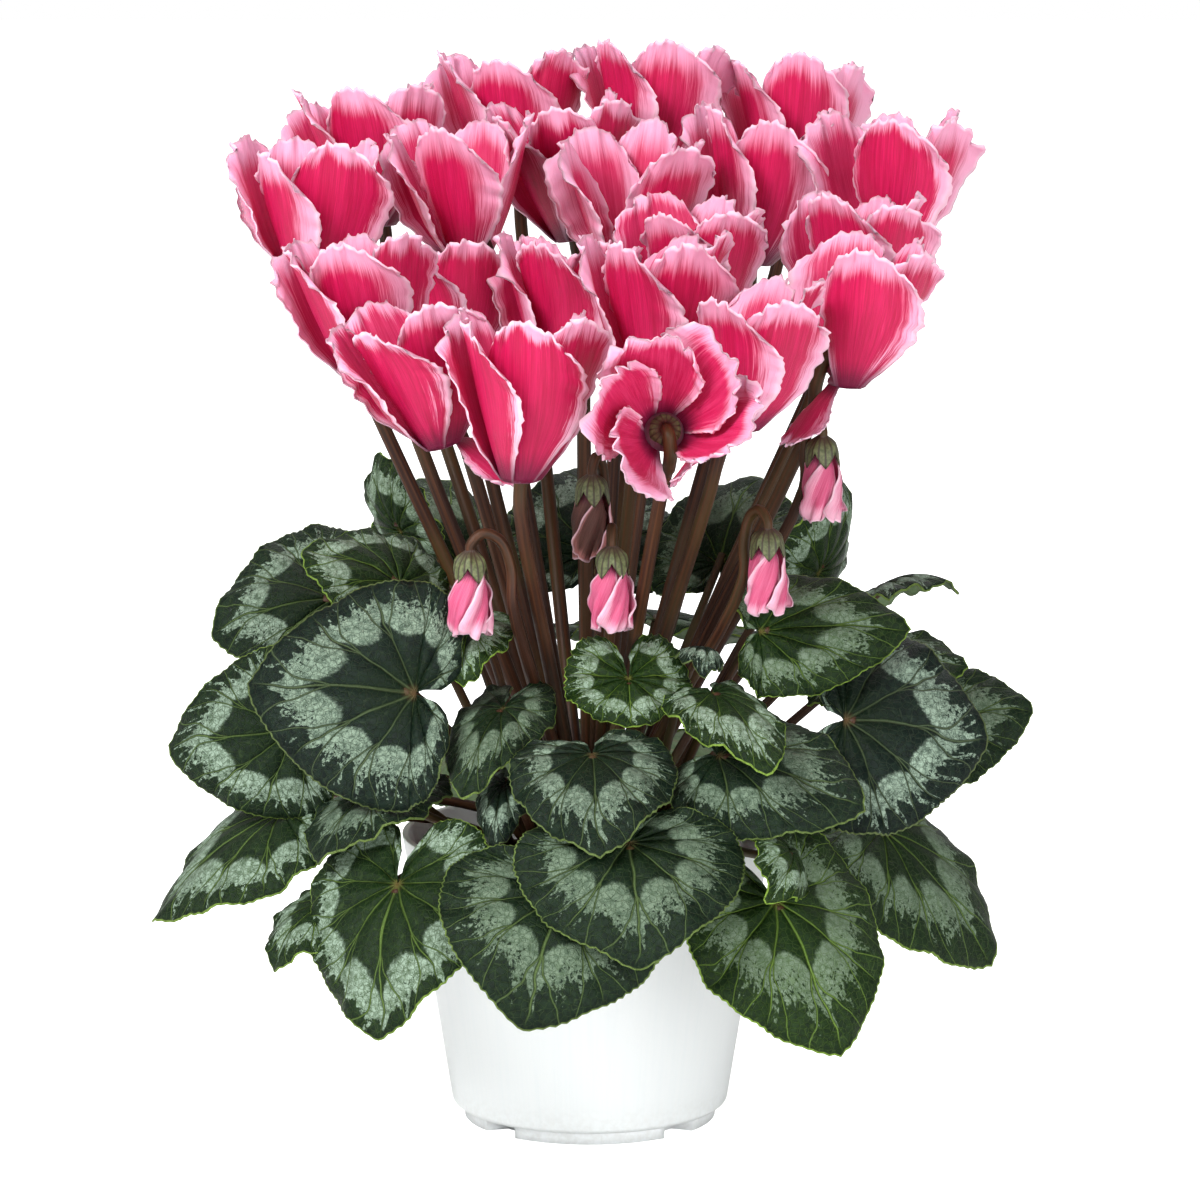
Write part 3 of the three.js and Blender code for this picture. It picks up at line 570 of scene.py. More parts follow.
def petal_pattern_group():
    """Pale fringe, paler rim, streaks and dark eye of a petal, from across and along it. The eye also paints
    shade at the petal's foot.
    """
    graph, given, result = new_group(
        "petal_pattern", ["Across", "Along", "Chance", "Fringe"], ["Pale", "Rim", "EyeAndShade", "Streak"]
    )
    across, along, chance = given["Across"], given["Along"], given["Chance"]
    centred = graph.scaled(across, 2, -1)
    # Streaks fan out from the foot of the petal, fine ones in broader ones.
    fan = graph.vector(graph.times(centred, 34), graph.times(along, 2), chance)
    fine = graph.noise(fan, 1.6, 3, 0.7)
    broad = graph.noise(graph.vector(graph.times(centred, 7), along, chance), 1.3, 2, 0.6)
    patch = graph.noise(graph.vector(graph.times(centred, 1.3), along, chance), 1.6, 1)
    streak = graph.scaled(fine, 0.6, graph.times(broad, 0.4))
    # Way in from the margin, as a share of the petal's half width.
    side = graph.minus(1, graph.math("ABSOLUTE", centred))
    side = graph.times(side, graph.scaled(along, 0.7, 0.45))
    end = graph.times(graph.minus(1, along), 2.2)
    graph.put(graph.rise(graph.math("SMOOTH_MIN", side, end, 0.04), 0.085, 0.015), result["Rim"])
    edge = graph.math("SMOOTH_MIN", side, end, 0.3)
    edge = graph.plus(edge, graph.scaled(streak, -0.8, 0.4))
    edge = graph.plus(edge, graph.scaled(patch, -0.5, 0.25))
    reach = graph.times(given["Fringe"], graph.scaled(along, 0.8, 0.2))
    reach = graph.times(reach, graph.scaled(chance, 0.09, 1))
    graph.put(graph.rise(graph.math("DIVIDE", edge, reach), 1.2, 0.2), result["Pale"])
    # The dark eye at the petal's foot: partly the bloom's own dark eye, partly painted shade where the petals
    # meet at the mouth.
    foot = graph.plus(along, graph.scaled(streak, 0.16, -0.08))
    graph.put(graph.rise(foot, 0.24, 0.03), result["EyeAndShade"])
    graph.put(streak, result["Streak"])
    return graph.tree


GRAIN = grain_group()
LEAF_PATTERN = leaf_pattern_group()
PETAL_PATTERN = petal_pattern_group()


def new_material(name, specular):
    """A material with its graph and the inputs of its shader."""
    material = bpy.data.materials.new(name)
    material.use_nodes = True
    graph = Graph(material.node_tree)
    shader = material.node_tree.nodes["Principled BSDF"].inputs
    graph.put(specular, shader["Specular IOR Level"])
    return material, graph, shader


def new_surface(name, size, least, span, bump, specular=0.5):
    """A grained material, rougher where the grain is high, and the input for the height of its bump."""
    material, graph, shader = new_material(name, specular)
    grain = graph.group(GRAIN, Vector=graph.where(), Size=size)
    graph.put(graph.scaled(grain["Height"], span, least), shader["Roughness"])
    relief = graph.add("ShaderNodeBump")
    graph.put(bump * MM, relief.inputs["Distance"])
    graph.put(relief.outputs["Normal"], shader["Normal"])
    return material, graph, shader, relief.inputs["Height"], grain


def leaf_upper_material():
    material, graph, shader, height, grain = new_surface("leaf_upper", 260, 0.3, 0.2, 2.6, 0.13)
    across, out = graph.uv()
    fresh, chance = graph.mark("freshness"), graph.mark("chance")
    pattern = graph.group(LEAF_PATTERN, Across=across, Out=out, Chance=chance)
    net = graph.rise(graph.cells(graph.where(), 430, "DISTANCE_TO_EDGE"), 0.09, 0)
    deep = graph.mix(fresh, (0.002, 0.006, 0.005), (0.005, 0.016, 0.003))
    light = graph.mix(fresh, (0.008, 0.018, 0.012), (0.015, 0.036, 0.006))
    green = graph.mix(grain["Mottle"], deep, light)
    heart = graph.mix(fresh, (0.003, 0.01, 0.004), (0.008, 0.026, 0.003))
    centre = graph.mix(graph.rise(out, 0.5, 0.1), green, heart)
    dull = graph.mix(fresh, (0.05, 0.08, 0.058), (0.075, 0.125, 0.055))
    bright = graph.mix(graph.rise(chance, -3, 2.5), (0.16, 0.22, 0.15), (0.3, 0.4, 0.31))
    silver = graph.mix(graph.rise(grain["Height"], 0.36, 0.62), dull, bright)
    silver = graph.mix(graph.times(net, 0.45), silver, dull)
    banded = graph.mix(pattern["Silver"], centre, silver)
    ribs = graph.mix(fresh, (0.085, 0.12, 0.06), (0.17, 0.29, 0.045))
    veined = graph.mix(graph.times(pattern["Vein"], 0.85), banded, ribs)
    netted = graph.mix(graph.times(net, 0.12), veined, ribs)
    stained = graph.mix(graph.times(graph.rise(out, 0.1, 0), 0.7), netted, (0.12, 0.045, 0.02))
    edge = graph.mix(fresh, (0.11, 0.15, 0.055), (0.22, 0.36, 0.045))
    graph.put(graph.mix(pattern["Edge"], stained, edge), shader["Base Color"])
    relief = graph.scaled(grain["Height"], 0.22, pattern["Height"])
    graph.put(graph.scaled(net, -0.08, relief), height)
    return material


def leaf_under_material():
    material, graph, shader, height, grain = new_surface("leaf_under", 220, 0.42, 0.3, 0.5, 0.35)
    across, out = graph.uv()
    pattern = graph.group(LEAF_PATTERN, Across=across, Out=out, Chance=graph.mark("chance"))
    green = graph.mix(grain["Mottle"], (0.1, 0.16, 0.07), (0.16, 0.235, 0.11))
    graph.put(graph.mix(pattern["Vein"], green, (0.24, 0.2, 0.12)), shader["Base Color"])
    graph.put(graph.scaled(pattern["Vein"], 0.6, grain["Height"]), height)
    return material


def stem_material(name, dark, light, green):
    """A fleshy stem: brownish red with green showing through, with fine streaks and a hairy grain."""
    material, graph, shader, height, grain = new_surface(name, 420, 0.32, 0.3, 0.12, 0.25)
    around, along = graph.uv()
    stretched = graph.vector(graph.times(around, 16), graph.times(along, 5), graph.mark("chance"))
    streak = graph.noise(stretched, 1, 3, 0.6)
    tinge = graph.rise(graph.noise(graph.where(), 22, 1), 0.42, 0.66)
    tinge = graph.mix(tinge, dark, green)
    graph.put(graph.mix(graph.rise(streak, 0.35, 0.75), tinge, light), shader["Base Color"])
    graph.put(graph.plus(grain["Height"], streak), height)
    return material


def petal_material(name, deep, bright, pale, fringe):
    """A velvety petal. A fresher bloom has a broader pale fringe."""
    material, graph, shader, height, grain = new_surface(name, 300, 0.4, 0.2, 0.25, 0.3)
    across, along = graph.uv()
    chance = graph.mark("chance")
    width = graph.scaled(graph.mark("freshness"), 0.75 * fringe, 0.7 * fringe)
    pattern = graph.group(PETAL_PATTERN, Across=across, Along=along, Chance=chance, Fringe=width)
    rose = graph.mix(graph.rise(pattern["Streak"], 0.35, 0.68), deep, bright)
    washed = graph.mix(pattern["Pale"], rose, pale)
    rimmed = graph.mix(graph.times(pattern["Rim"], 0.55), washed, (0.92, 0.64, 0.74))
    # The eye darkens the petal's foot: partly its own colour, partly painted shade.
    eyed_and_shaded = graph.mix(graph.times(pattern["EyeAndShade"], 0.8), rimmed, (0.09, 0.004, 0.03))
    graph.put(eyed_and_shaded, shader["Base Color"])
    graph.put(graph.scaled(grain["Height"], 0.4, pattern["Streak"]), height)
    graph.put(0.18, shader["Subsurface Weight"])
    graph.put((0.004, 0.0015, 0.002), shader["Subsurface Radius"])
    graph.put(1, shader["Subsurface Scale"])
    return material


def calyx_material():
    material, graph, shader, height, grain = new_surface("calyx", 500, 0.36, 0.3, 0.2)
    around, along = graph.uv()
    veins = graph.math("PINGPONG", graph.times(around, 15), 0.5)
    green = graph.mix(grain["Mottle"], (0.07, 0.085, 0.03), (0.15, 0.17, 0.07))
    dark = graph.times(graph.rise(veins, 0.24, 0.05), 0.85)
    ribbed = graph.mix(dark, green, (0.03, 0.016, 0.012))
    graph.put(graph.mix(graph.rise(along, 0.5, 0), ribbed, (0.045, 0.022, 0.014)), shader["Base Color"])
    graph.put(graph.plus(grain["Height"], veins), height)
    return material


def tuber_material():
    material, graph, shader, height, grain = new_surface("tuber_bark", 120, 0.75, 0.2, 1.2, 0.2)
    cracks = graph.cells(graph.where(), 160, "DISTANCE_TO_EDGE")
    bark = graph.mix(grain["Mottle"], (0.045, 0.026, 0.016), (0.11, 0.07, 0.045))
    graph.put(graph.mix(graph.rise(cracks, 0.06, 0), bark, (0.02, 0.012, 0.008)), shader["Base Color"])
    graph.put(graph.plus(grain["Height"], graph.rise(cracks, 0, 0.08)), height)
    return material


def compost_material():
    material, graph, shader, height, grain = new_surface("compost", 180, 0.82, 0.15, 2, 0.15)
    crumbs = graph.cells(graph.where(), 420)
    peat = graph.mix(grain["Mottle"], (0.012, 0.008, 0.006), (0.045, 0.03, 0.02))
    graph.put(graph.mix(graph.rise(crumbs, 0.25, 0.05), peat, (0.085, 0.06, 0.04)), shader["Base Color"])
    graph.put(graph.minus(grain["Height"], crumbs), height)
    return material


def pot_material():
    """White moulded plastic with faint upright drag marks, a few rubbed scuffs, and a patchy greyish
    darkening towards the bottom.
    """
    material, graph, shader, height, grain = new_surface("pot_plastic", 300, 0.24, 0.12, 0.1)
    x, y, z = graph.split(graph.where())
    around = graph.math("ARCTAN2", y, x)
    drag = graph.noise(graph.vector(graph.times(around, 34), graph.times(z, 14)), 1, 3, 0.7)
    scuffs = graph.noise(graph.vector(graph.times(around, 5), graph.times(z, 75)), 1, 4, 0.75)
    rubbed = graph.rise(scuffs, 0.68, 0.8)
    # A patchy greyish darkening over the lowest 20 mm, strongest at the bottom.
    low_darkening = graph.times(graph.rise(z, 0.02, 0), graph.times(grain["Mottle"], 0.25))
    clean = graph.mix(graph.rise(drag, 0.4, 0.8), (0.93, 0.955, 0.965), (0.9, 0.935, 0.95))
    scuffed = graph.mix(graph.times(rubbed, 0.4), clean, (0.5, 0.53, 0.54))
    graph.put(graph.mix(low_darkening, scuffed, (0.6, 0.58, 0.54)), shader["Base Color"])
    # Rubbed places are duller than the rest.
    rest = shader["Roughness"].links[0].from_socket
    graph.put(graph.plus(rest, graph.times(rubbed, 0.25)), shader["Roughness"])
    graph.put(graph.scaled(drag, 0.5, grain["Height"]), height)
    return material


# Tuber and the roots of everything that grows from it.
def tuber_place(radius, turn):
    """A place on top of the tuber and the direction straight out of it."""
    share = radius / TUBER_RADIUS
    height = TUBER_CENTRE + TUBER_HALF_HEIGHT * math.sqrt(1 - share**2)
    place = Vector((radius * math.cos(turn), radius * math.sin(turn), height))
    upward = (height - TUBER_CENTRE) * (TUBER_RADIUS / TUBER_HALF_HEIGHT) ** 2
    return place, Vector((place.x, place.y, upward)).normalized()


# Leaves.
def back_leaves():
    rows = []
    for node, ring, first, last, count, heart, tip, wide, stagger, lobe in BACK_TIERS:
        for i in range(count):
            turn = math.radians(first + (last - first) * i / (count - 1))
            ends = []
            for radius, height in (heart, tip):
                out = radius + i % 2 * stagger
                ends.append([out * math.cos(turn), out * math.sin(turn), height])
            rows.append([f"{node}_{1 + i // 2}", ring, *ends, wide, {"wave": 2.5, "lobe": lobe}])
    return rows


def leaf_of(number, row):
    node, ring, heart, tip, wide, form = row
    leaf = {"roll": 0, "lobe": 1, "bow": 5, "dome": 6, "wave": 1, "turn": 40, **form}
    by_chance = 0.4 + 0.35 * draw(number, 4)
    leaf.update(node=node, ring=ring, wide=wide, heart=Vector(heart), tip=Vector(tip), number=number)
    leaf["freshness"] = FRESHNESS.get(node, by_chance)
    return leaf


def blade_axes(leaf):
    """The blade's own axes: from heart to tip, to its side, and out of its upper face."""
    along = (leaf["tip"] - leaf["heart"]).normalized()
    across = (leaf["heart"] - Vector((0, 0, LEAF_DOME_CENTRE))).cross(along).normalized()
    face = Matrix.Rotation(math.radians(leaf["roll"]), 3, along) @ along.cross(across)
    return along, face.cross(along), face


def blade_point(leaf, degrees, reach, share):
    """Points of the blade on its own axes: share runs from the heart to the margin."""
    length = (leaf["tip"] - leaf["heart"]).length
    far = reach * length * share
    turn = np.radians(degrees)
    along = far * np.cos(turn) * np.where(np.cos(turn) < 0, leaf["lobe"], 1)
    across = far * np.sin(turn) * leaf["wide"] / (LEAF_OUTLINE_WIDTH * length)
    t = along / length
    lift = np.where(t > 0, 4 * leaf["bow"] * t * (1 - t), 4 * leaf["bow"] * t)
    droop = leaf["dome"] * (across / (leaf["wide"] / 2)) ** 2
    ripple = leaf["wave"] * share**2 * np.sin(np.radians(BLADE_WAVES * degrees + leaf["turn"]))
    return along, across, lift - droop + ripple


def add_blade(shape, leaf):
    length = (leaf["tip"] - leaf["heart"]).length
    margin = 1.47 * length + 1.7 * leaf["wide"]
    columns = 2 * round(margin / TOOTH_PITCH)
    axes = np.array(blade_axes(leaf))
    phase = 3 * draw(leaf["number"], 5)

    def place(across, out):
        degrees = -across * BLADE_HALF_TURN
        share = (out + 1) / 2
        reach = smooth_through(np.abs(degrees), LEAF_OUTLINE)
        tooth = np.abs((across + 1) / 2 * columns % 2 - 1)
        uneven = 1 + 0.4 * np.sin(across * 37 + phase)
        reach = reach - (share > 0.99) * tooth * TOOTH_DEPTH / length * uneven
        x, y, z = blade_point(leaf, degrees, reach, share)
        turn = np.radians(degrees)
        ruffle = share**5 * (BLADE_RUFFLE * np.sin(9 * turn + phase) + BLADE_CRINKLE * np.sin(19 * turn))
        veins = np.abs(degrees / VEIN_SPACING % 1 - 0.5)
        swell = BLADE_SWELL * (0.25 - veins**2) * share * (1 - share**3)
        dimple = BLADE_DIMPLE * np.exp(-((share / 0.16) ** 2))
        height = z + ruffle + swell - dimple - BLADE_THICKNESS / 2
        return np.array(leaf["heart"]) + np.stack([x, y, height], 1) @ axes

    marks = {"freshness": leaf["freshness"], "chance": 3 * draw(leaf["number"], 6)}
    sheet(shape, columns, BLADE_ROWS, place, BLADE_THICKNESS, under=1, **marks)


def add_stalk(shape, leaf, root):
    place, out = root
    along, side, face = blade_axes(leaf)
    x, y, z = blade_point(leaf, np.array([0]), 1, np.array([RIB_SHARE]))
    rib = Vector((x[0], y[0], z[0]))
    rib *= STALK_END / rib.x
    end = leaf["heart"] + along * rib.x + side * rib.y + face * rib.z
    first = place.lerp(end, 1 / 3)
    first.z += max(0, 0.75 * (STALK_RISE - end.z + place.z))
    foot = place - out * STALK_FOOT_DEPTH
    inward = Vector((-end.x, -end.y, 0)).normalized()
    last = end - face * STALK_END_DROP + inward * STALK_END_INWARD
    line = bent_line([foot, first, last, end], 18)
    radii = [STALK_RADIUS * 1.15, STALK_RADIUS * 0.9]
    tube(shape, line, radii, sides=10, material=2, chance=draw(leaf["number"], 7))


def stalk_roots(leaves):
    """Where each stalk leaves the tuber: nodes in the order of their directions, a node's stalks abreast."""
    roots = {}
    for ring, radius in enumerate(STALK_RINGS):
        nodes = list(dict.fromkeys(leaf["node"] for leaf in leaves if leaf["ring"] == ring))
        clumps = [[leaf for leaf in leaves if leaf["node"] == node] for node in nodes]
        clumps.sort(key=lambda clump: direction(clump[0]))
        step = 2 * math.pi / len(clumps)
        slips = [direction(clump[0]) - i * step for i, clump in enumerate(clumps)]
        start = math.atan2(sum(map(math.sin, slips)), sum(map(math.cos, slips)))
        for i, clump in enumerate(clumps):
            for spot, leaf in enumerate(sorted(clump, key=direction)):
                aside = (spot - (len(clump) - 1) / 2) * STALK_SPACING / radius
                roots[leaf["number"]] = tuber_place(radius, start + i * step + aside)
    return roots


def direction(leaf):
    return math.atan2(leaf["heart"].y, leaf["heart"].x)


def make_leaves():
    materials = [
        leaf_upper_material(),
        leaf_under_material(),
        stem_material("leaf_stalk", (0.03, 0.011, 0.006), (0.08, 0.035, 0.015), (0.05, 0.04, 0.012)),
    ]
    leaves = [leaf_of(number, row) for number, row in enumerate(LEAVES + back_leaves())]
    roots = stalk_roots(leaves)
    for node in dict.fromkeys(leaf["node"] for leaf in leaves):
        shape = new_shape()
        for leaf in (leaf for leaf in leaves if leaf["node"] == node):
            add_blade(shape, leaf)
            add_stalk(shape, leaf, roots[leaf["number"]])
        finish(shape, f"{node}_foliage", [node], materials)


# Blooms.
def bloom_frame(mouth, lean, form):
    """The bloom's own axes: Z along the turned-back petals, X to the side away from the stem."""
    up = Vector(lean).normalized()
    turn = math.radians(form["front"]) if "front" in form else math.atan2(mouth[1], mouth[0])
    side = up.cross(Vector((math.cos(turn), math.sin(turn), 0))).normalized()
    place = Matrix((side.cross(up), side, up)).transposed().to_4x4()
    place.translation = mouth
    return place


def round_axis(matrix, radius, angle, height):
    """Points at a radius, an angle and a height on the axes of a bloom or a bud."""
    local = np.stack([radius * np.cos(angle), radius * np.sin(angle), height], 1)
    return local @ np.array(matrix.to_3x3()).T + np.array(matrix.translation)


def petal_place(opening, long, seed, hangs, matrix):
    """The rule that puts the points of one petal's grid in the bloom."""
    turn = math.radians(PETAL_PLACES[seed % len(PETAL_PLACES)])
    length = long * (1.03 + 0.06 * draw(seed, 1))
    width = PETAL_HALF_WIDTH * (PETAL_DROP_NARROWING if hangs else 1)
    rise = -PETAL_DROP if hangs else 1
    roll = PETAL_ROLL + 2.4 * draw(seed, 4)
    phases = [math.pi * draw(seed, use) for use in range(10, 18)]

    def place(across, along):
        share = (along + 1) / 2
        side = np.abs(across)
        notches = 0.011 * np.sin(across * 17 + phases[0]) + 0.008 * np.sin(across * 31 + phases[1])
        run = share * (1 - (0.2 + 0.03 * across**2) * across**2 * share) + share**14 * notches
        flare = (PETAL_FLARE + 0.6 * draw(seed, 2)) * share**4
        radius = MOUTH_RADIUS + opening * (2 * run - run**2) + flare
        jag = 1 + side**8 * (0.012 * np.sin(share * 43 + phases[2]) + 0.01 * np.sin(share * 71 + phases[3]))
        jag -= (side > 0.99) * np.abs(share * PETAL_ROWS % 2 - 1) * 0.016 * share
        half = width * np.sin(np.pi * (0.08 + 0.53 * share)) * (1 - 0.2 * share**5) * jag
        angle = across * half / radius
        flatter = 0.08 * radius * (1 / np.cos(angle) - 1)
        ripple = 0.8 * share**2 * across**2 * np.sin(7 * share + 3 * draw(seed, 3))
        winding = PETAL_WINDING * across * np.minimum(1, 3 * share)
        # Ruffles run along the two sides and across the end, deepest at the margin.
        edge = side**4 * np.minimum(1, 3 * share)
        wander = 1.8 * np.sin(share * 9 + phases[4])
        frill = edge * (0.7 * np.sin(share * 23 + wander + phases[0]) + 0.3 * np.sin(share * 47 + phases[6]))
        wave = 1.5 * np.sin(across * 11 + 1.8 * np.sin(across * 4 + phases[5]) + phases[1])
        fringe = share**7 * (wave + 0.5 * np.sin(across * 25 + phases[7]))
        # The margin that lies over the next petal rolls outwards.
        rolled = roll * np.maximum(across, 0) ** 4 * np.sin(np.pi * (0.05 + 0.7 * share))
        curled = rolled + (PETAL_END_CURL + 0.6 * draw(seed, 9)) * share**6
        keel = -0.5 * np.exp(-((across / 0.09) ** 2)) * share * (1 - share)
        reach = radius + flatter + winding + ripple + frill + fringe + curled + keel - PETAL_THICKNESS / 2
        tooth = np.abs((across + 1) / 2 * PETAL_COLUMNS % 2 - 1)
        uneven = 0.35 + 0.2 * np.sin(across * 61 + phases[2])
        height = rise * length * run - (share > 0.99) * tooth * uneven
        return round_axis(matrix, reach, angle + turn, height)

    return place


def make_blooms():
    rose = petal_material("petal_outside", (0.4, 0.004, 0.052), (0.6, 0.01, 0.098), (0.82, 0.35, 0.51), 0.36)
    inner = petal_material("petal_inside", (0.5, 0.008, 0.075), (0.66, 0.04, 0.15), (0.84, 0.36, 0.53), 0.42)
    for number, (mouth, lean, opening, form) in enumerate(BLOOMS):
        matrix = bloom_frame(mouth, lean, form)
        long = form.get("long", PETAL_LENGTH)
        marks = {"freshness": (mouth[2] - LOWEST_BLOOM) / BLOOM_SPREAD}
        shape = new_shape()
        for petal in range(len(PETAL_PLACES)):
            seed = number * len(PETAL_PLACES) + petal
            marks["chance"] = 5 * draw(seed, 8)
            place = petal_place(opening, long, seed, petal == form.get("drop"), matrix)
            sheet(shape, PETAL_COLUMNS, PETAL_ROWS, place, PETAL_THICKNESS, under=1, **marks)
        turned(shape, THROAT, steps=24, place=matrix)
        finish(shape, f"bloom_{number + 1}_petals", [f"bloom_{number + 1}"], [rose, inner])


# Buds.
def bud_frame(calyx, stem):
    place = Matrix.Rotation(math.radians(stem + 180), 4, "Z")
    place.translation = calyx
    return place


def bud_petal_place(seed, turn, matrix):
    """The rule for a furled petal of a bud, which winds round the others as it goes down."""
    phases = [math.pi * draw(seed, use) for use in range(20, 23)]

    def place(across, along):
        share = (along + 1) / 2
        belly = 1.6 + 4.4 * np.sin(np.pi * np.minimum(1, 0.1 + 0.8 * share)) + 3 * share**3
        angle = np.radians(across * (30 + 24 * np.minimum(1, 3 * share)) + 80 * share)
        frill = np.abs(across) ** 3 * share * np.sin(share * 17 + phases[0])
        fringe = 1.2 * share**2 * np.sin(across * 8 + phases[1])
        radius = belly + 1.3 * across + frill + fringe - PETAL_THICKNESS / 2
        drop = BUD_LENGTH * share * (1 - 0.15 * across**2) + 0.7 * share**8 * np.sin(across * 7 + phases[2])
        top = -CALYX_HEIGHT - 0.4 + BUD_TUCK * (1 - share)
        return round_axis(matrix, radius, turn - angle, top - drop)

    return place


def calyx_place(matrix, top, foot, length, spread):
    """The rule for a calyx: a cup round the stem's end that parts into five pointed sepals."""

    def place(around, along):
        share = (along + 1) / 2
        lobe = 1 - np.abs(around * 2.5 % 1 * 2 - 1)
        drop = share * (0.5 + 0.5 * lobe**0.8) * length
        radius = foot + (spread - foot) * np.sin(np.pi / 2 * np.minimum(1, 1.5 * share)) + 0.5 * share**3
        keel = 0.25 * lobe * share
        return round_axis(matrix, radius + keel, np.pi * around, top - drop)

    return place


def make_buds():
    pink = petal_material("bud_outside", (0.55, 0.06, 0.16), (0.66, 0.15, 0.27), (0.79, 0.38, 0.5), 0.45)
    tan = petal_material("bud_young", (0.06, 0.022, 0.016), (0.12, 0.045, 0.034), (0.34, 0.13, 0.12), 0.3)
    for number, (calyx, stem, _) in enumerate(BUDS):
        matrix = bud_frame(calyx, stem)
        shape = new_shape()
        for petal in range(BUD_PETALS):
            seed = BUD_PETAL_DRAWS + number * BUD_PETALS + petal
            marks = {"freshness": 0.5, "chance": 5 * draw(seed, 8)}
            place = bud_petal_place(seed, -2 * math.pi * petal / BUD_PETALS, matrix)
            sheet(shape, BUD_COLUMNS, BUD_ROWS, place, PETAL_THICKNESS, **marks)
        young = number == len(BUDS) - 1
        finish(shape, f"bud_{number + 1}_petals", [f"bud_{number + 1}"], [tan if young else pink])


# Tuber, stems, and the calyx at the end of each stem.
def add_stem(shape, crook, matrix, radii, seed):
    bend = [matrix @ Vector(point) for point in crook]
    x, y = bend[0].x, bend[0].y
    root = tuber_place(STEM_GATHERING * math.hypot(x, y), math.atan2(y, x))[0] - Vector((0, 0, 3))
    line = line_through([root, root.lerp(bend[0], 0.5), *bend], 5)
    tube(shape, line, radii, sides=12, chance=4 * draw(seed, 9))


def make_stems():
    materials = [
        stem_material("flower_stem", (0.024, 0.008, 0.0045), (0.085, 0.03, 0.012), (0.05, 0.03, 0.008)),
        tuber_material(),
        calyx_material(),
    ]
    shape = new_shape()
    rows = 12
    profile = []
    for i in range(rows + 1):
        angle = -math.pi / 2 + i * math.pi / rows
        height = TUBER_CENTRE + TUBER_HALF_HEIGHT * math.sin(angle)
        profile.append([max(0, TUBER_RADIUS * math.cos(angle)), height])
    for point in turned(shape, profile, steps=40, material=1):
        point.co += point.co.normalized() * BARK_BUMP * noise.noise(point.co * 0.12)
    for number, (mouth, lean, _, form) in enumerate(BLOOMS):
        matrix = bloom_frame(mouth, lean, form)
        add_stem(shape, BLOOM_CROOK, matrix, BLOOM_STEM, number)
        sheet(shape, 30, 5, calyx_place(matrix, *BLOOM_CALYX), SEPAL_THICKNESS, material=2, under=2)
    for number, (calyx, stem, reach) in enumerate(BUDS):
        matrix = bud_frame(calyx, stem)
        crook = [[x * reach, y, z] for x, y, z in BUD_CROOK]
        add_stem(shape, crook, matrix, BUD_STEM, BUD_STEM_DRAWS + number)
        sheet(shape, 40, 10, calyx_place(matrix, *BUD_CALYX), SEPAL_THICKNESS, material=2, under=2)
    finish(shape, "tuber_with_stems", ["tuber_and_stems"], materials)


# Pot and compost.
def pot_radius(height):
    return POT_BASE_RADIUS + (POT_RIM_RADIUS - POT_LIP_DEPTH - POT_BASE_RADIUS) * height / POT_HEIGHT


def rounded(profile, corners, radius):
    """The profile with each of the named corners replaced by a small arc of that radius."""
    result = []
    for i, point in enumerate(profile):
        if i not in corners:
            result.append(point)
            continue
        here = Vector(point)
        before, after = Vector(profile[i - 1]), Vector(profile[i + 1])
        start = here + (before - here).normalized() * radius
        end = here + (after - here).normalized() * radius
        for t in (0, 0.25, 0.5, 0.75, 1):
            bend = start * (1 - t) ** 2 + here * 2 * t * (1 - t) + end * t**2
            result.append([bend.x, bend.y])
    return result


def make_pot():
    shape = new_shape()
    lip = POT_HEIGHT - POT_LIP_HEIGHT
    low = pot_radius(FOOT_HEIGHT)
    profile = [
        [0, 0],
        [FOOT_RADIUS, 0],
        [FOOT_RADIUS, FOOT_HEIGHT - 0.5],
        [FOOT_RADIUS, FOOT_HEIGHT],
        [low - POT_EDGE, FOOT_HEIGHT],
        [pot_radius(FOOT_HEIGHT + POT_EDGE), FOOT_HEIGHT + POT_EDGE],
        [pot_radius(lip), lip],
        [pot_radius(lip) + POT_LIP_DEPTH, lip],
        [POT_RIM_RADIUS, POT_HEIGHT],
        [POT_RIM_RADIUS - POT_WALL - POT_LIP_TAPER, POT_HEIGHT],
        [pot_radius(lip) - POT_WALL, lip],
        [low - POT_WALL - POT_EDGE, FOOT_HEIGHT + POT_WALL],
        [0, FOOT_HEIGHT + POT_WALL],
    ]
    made = turned(shape, rounded(profile, (5, 7, 8, 9), 0.7), steps=120)
    half = FOOT_NOTCH_ANGLE / 2
    for point in made:
        turn = math.degrees(math.atan2(point.co.y, point.co.x)) % (360 / FOOT_NOTCHES)
        in_notch = abs(turn - 180 / FOOT_NOTCHES) < half
        if in_notch and point.co.z < FOOT_HEIGHT - 0.4 and point.co.xy.length > FOOT_RADIUS - 1:
            point.co.xy *= (FOOT_RADIUS - FOOT_NOTCH_DEPTH) / FOOT_RADIUS
    finish(shape, "pot_shell", ["pot"], [pot_material()])


def make_compost():
    """The fill of the pot, with a crumbly top and the hollow that the tuber sits in."""
    shape = new_shape()
    bottom = FOOT_HEIGHT + POT_WALL + 0.5
    wall = [[0, bottom], [pot_radius(bottom) - 4.6, bottom], [COMPOST_RADIUS, COMPOST_TOP - 3]]
    rings = [[radius, COMPOST_TOP] for radius in range(COMPOST_RADIUS - 4, TUBER_RADIUS - 1, -2)]
    hollow = [
        [TUBER_RADIUS - 1, COMPOST_TOP - 8],
        [TUBER_RADIUS * 0.6, COMPOST_TOP - 17],
        [0, COMPOST_TOP - 20],
    ]
    for point in turned(shape, wall + rings + hollow, steps=96):
        if point.co.z > COMPOST_TOP - 5:
            mound = COMPOST_MOUND * noise.noise(point.co * 0.16)
            point.co.z += mound + COMPOST_CRUMB * noise.noise(point.co * 0.7)
    finish(shape, "compost_fill", ["compost"], [compost_material()])


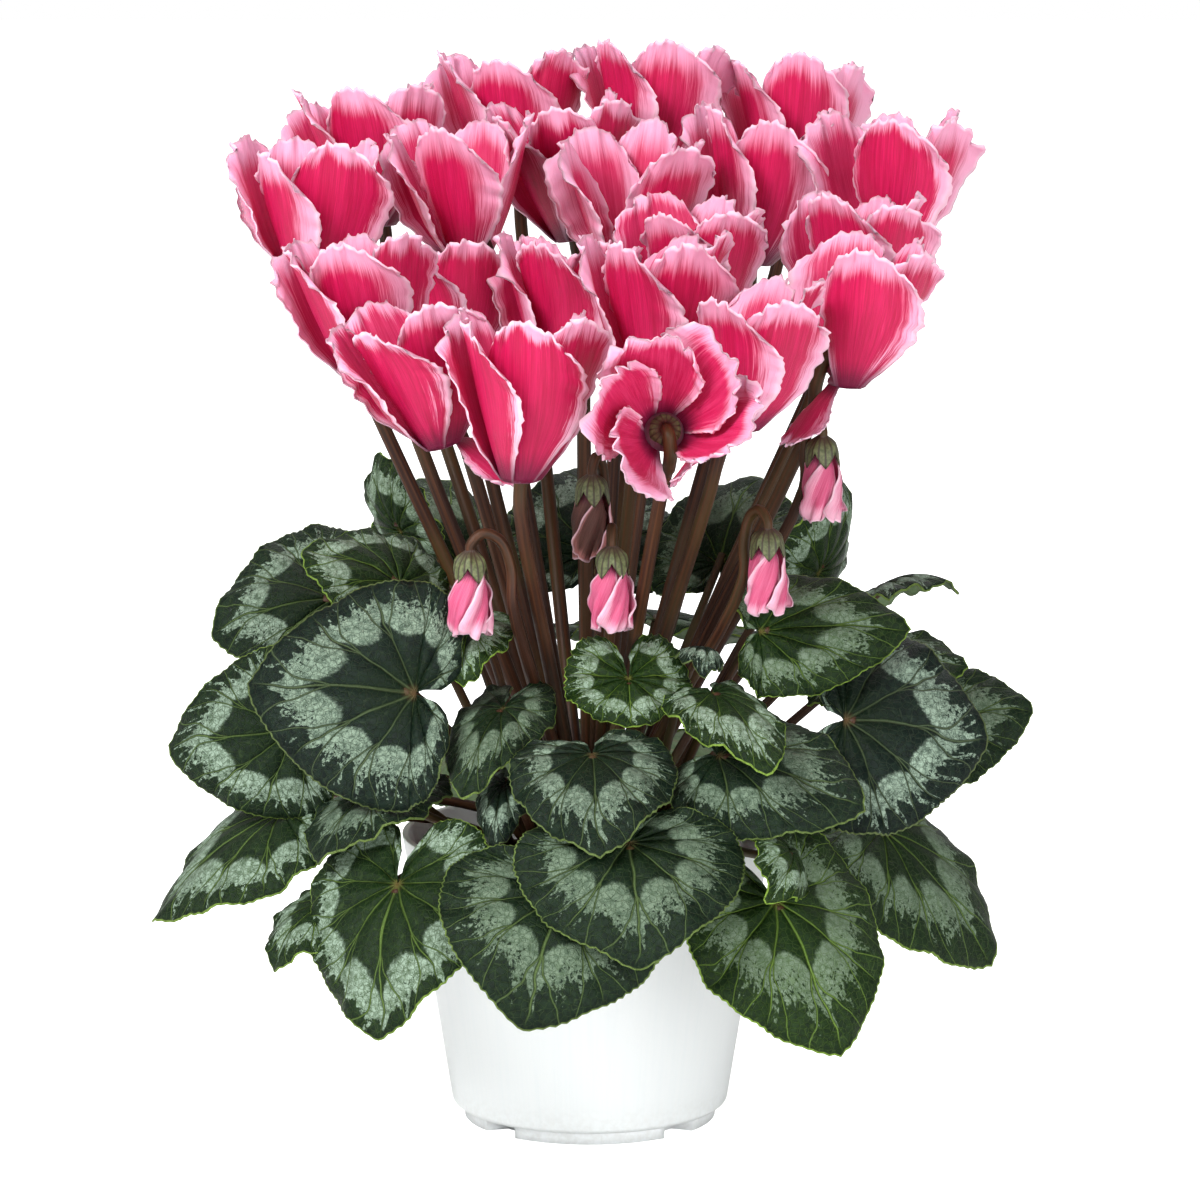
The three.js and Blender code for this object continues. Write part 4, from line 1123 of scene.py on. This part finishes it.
# Studio: floor, light and camera.
CAMERA_PLACE = (3.8, -2000, 545)
CAMERA_PITCH = 9.92
CAMERA_LENS = 164.6


def make_studio():
    scene = bpy.context.scene
    scene.view_settings.view_transform = "Standard"
    # Paper and backdrop glow white for the camera alone, so that they don't flood the plant with light.
    paper, graph, shader = new_material("floor_paper", 0.1)
    graph.put(0.9, shader["Roughness"])
    graph.put((1, 1, 1, 1), shader["Base Color"])
    graph.put((1, 1, 1, 1), shader["Emission Color"])
    seen = graph.add("ShaderNodeLightPath").outputs["Is Camera Ray"]
    graph.put(seen, shader["Emission Strength"])
    ground = bmesh.new()
    bmesh.ops.create_grid(ground, x_segments=1, y_segments=1, size=6)
    floor = add_mesh(ground, "floor", [paper])
    world = bpy.data.worlds.new("studio")
    world.use_nodes = True
    backdrop = Graph(world.node_tree)
    background = world.node_tree.nodes["Background"].inputs
    backdrop.put((1, 1, 1, 1), background["Color"])
    seen = backdrop.add("ShaderNodeLightPath").outputs["Is Camera Ray"]
    backdrop.put(backdrop.scaled(seen, 0.65, 0.35), background["Strength"])
    scene.world = world
    for name, size, power, place, aim in (
        ("key", 1.0, 66, (-1.3, -1.5, 1.7), (0, 0, 0.2)),
        ("fill", 1.6, 42, (1.0, -2.1, 0.4), (0, 0, 0.15)),
        ("back", 1.2, 14, (0.4, 1.3, 1.7), (0, 0, 0.3)),
    ):
        lamp = bpy.data.lights.new(name, "AREA")
        lamp.size = size
        lamp.energy = power
        light = add_object(name, lamp)
        light.location = place
        light.rotation_euler = (Vector(aim) - Vector(place)).to_track_quat("-Z", "Y").to_euler()
    camera_data = bpy.data.cameras.new("camera")
    camera_data.lens = CAMERA_LENS
    camera_data.sensor_width = 36
    camera_data.clip_end = 20
    camera = add_object("camera", camera_data)
    camera.location = Vector(CAMERA_PLACE) * MM
    camera.rotation_euler = (math.radians(90 - CAMERA_PITCH), 0, 0)
    scene.camera = camera


make_pot()
make_compost()
make_stems()
make_leaves()
make_blooms()
make_buds()
make_studio()
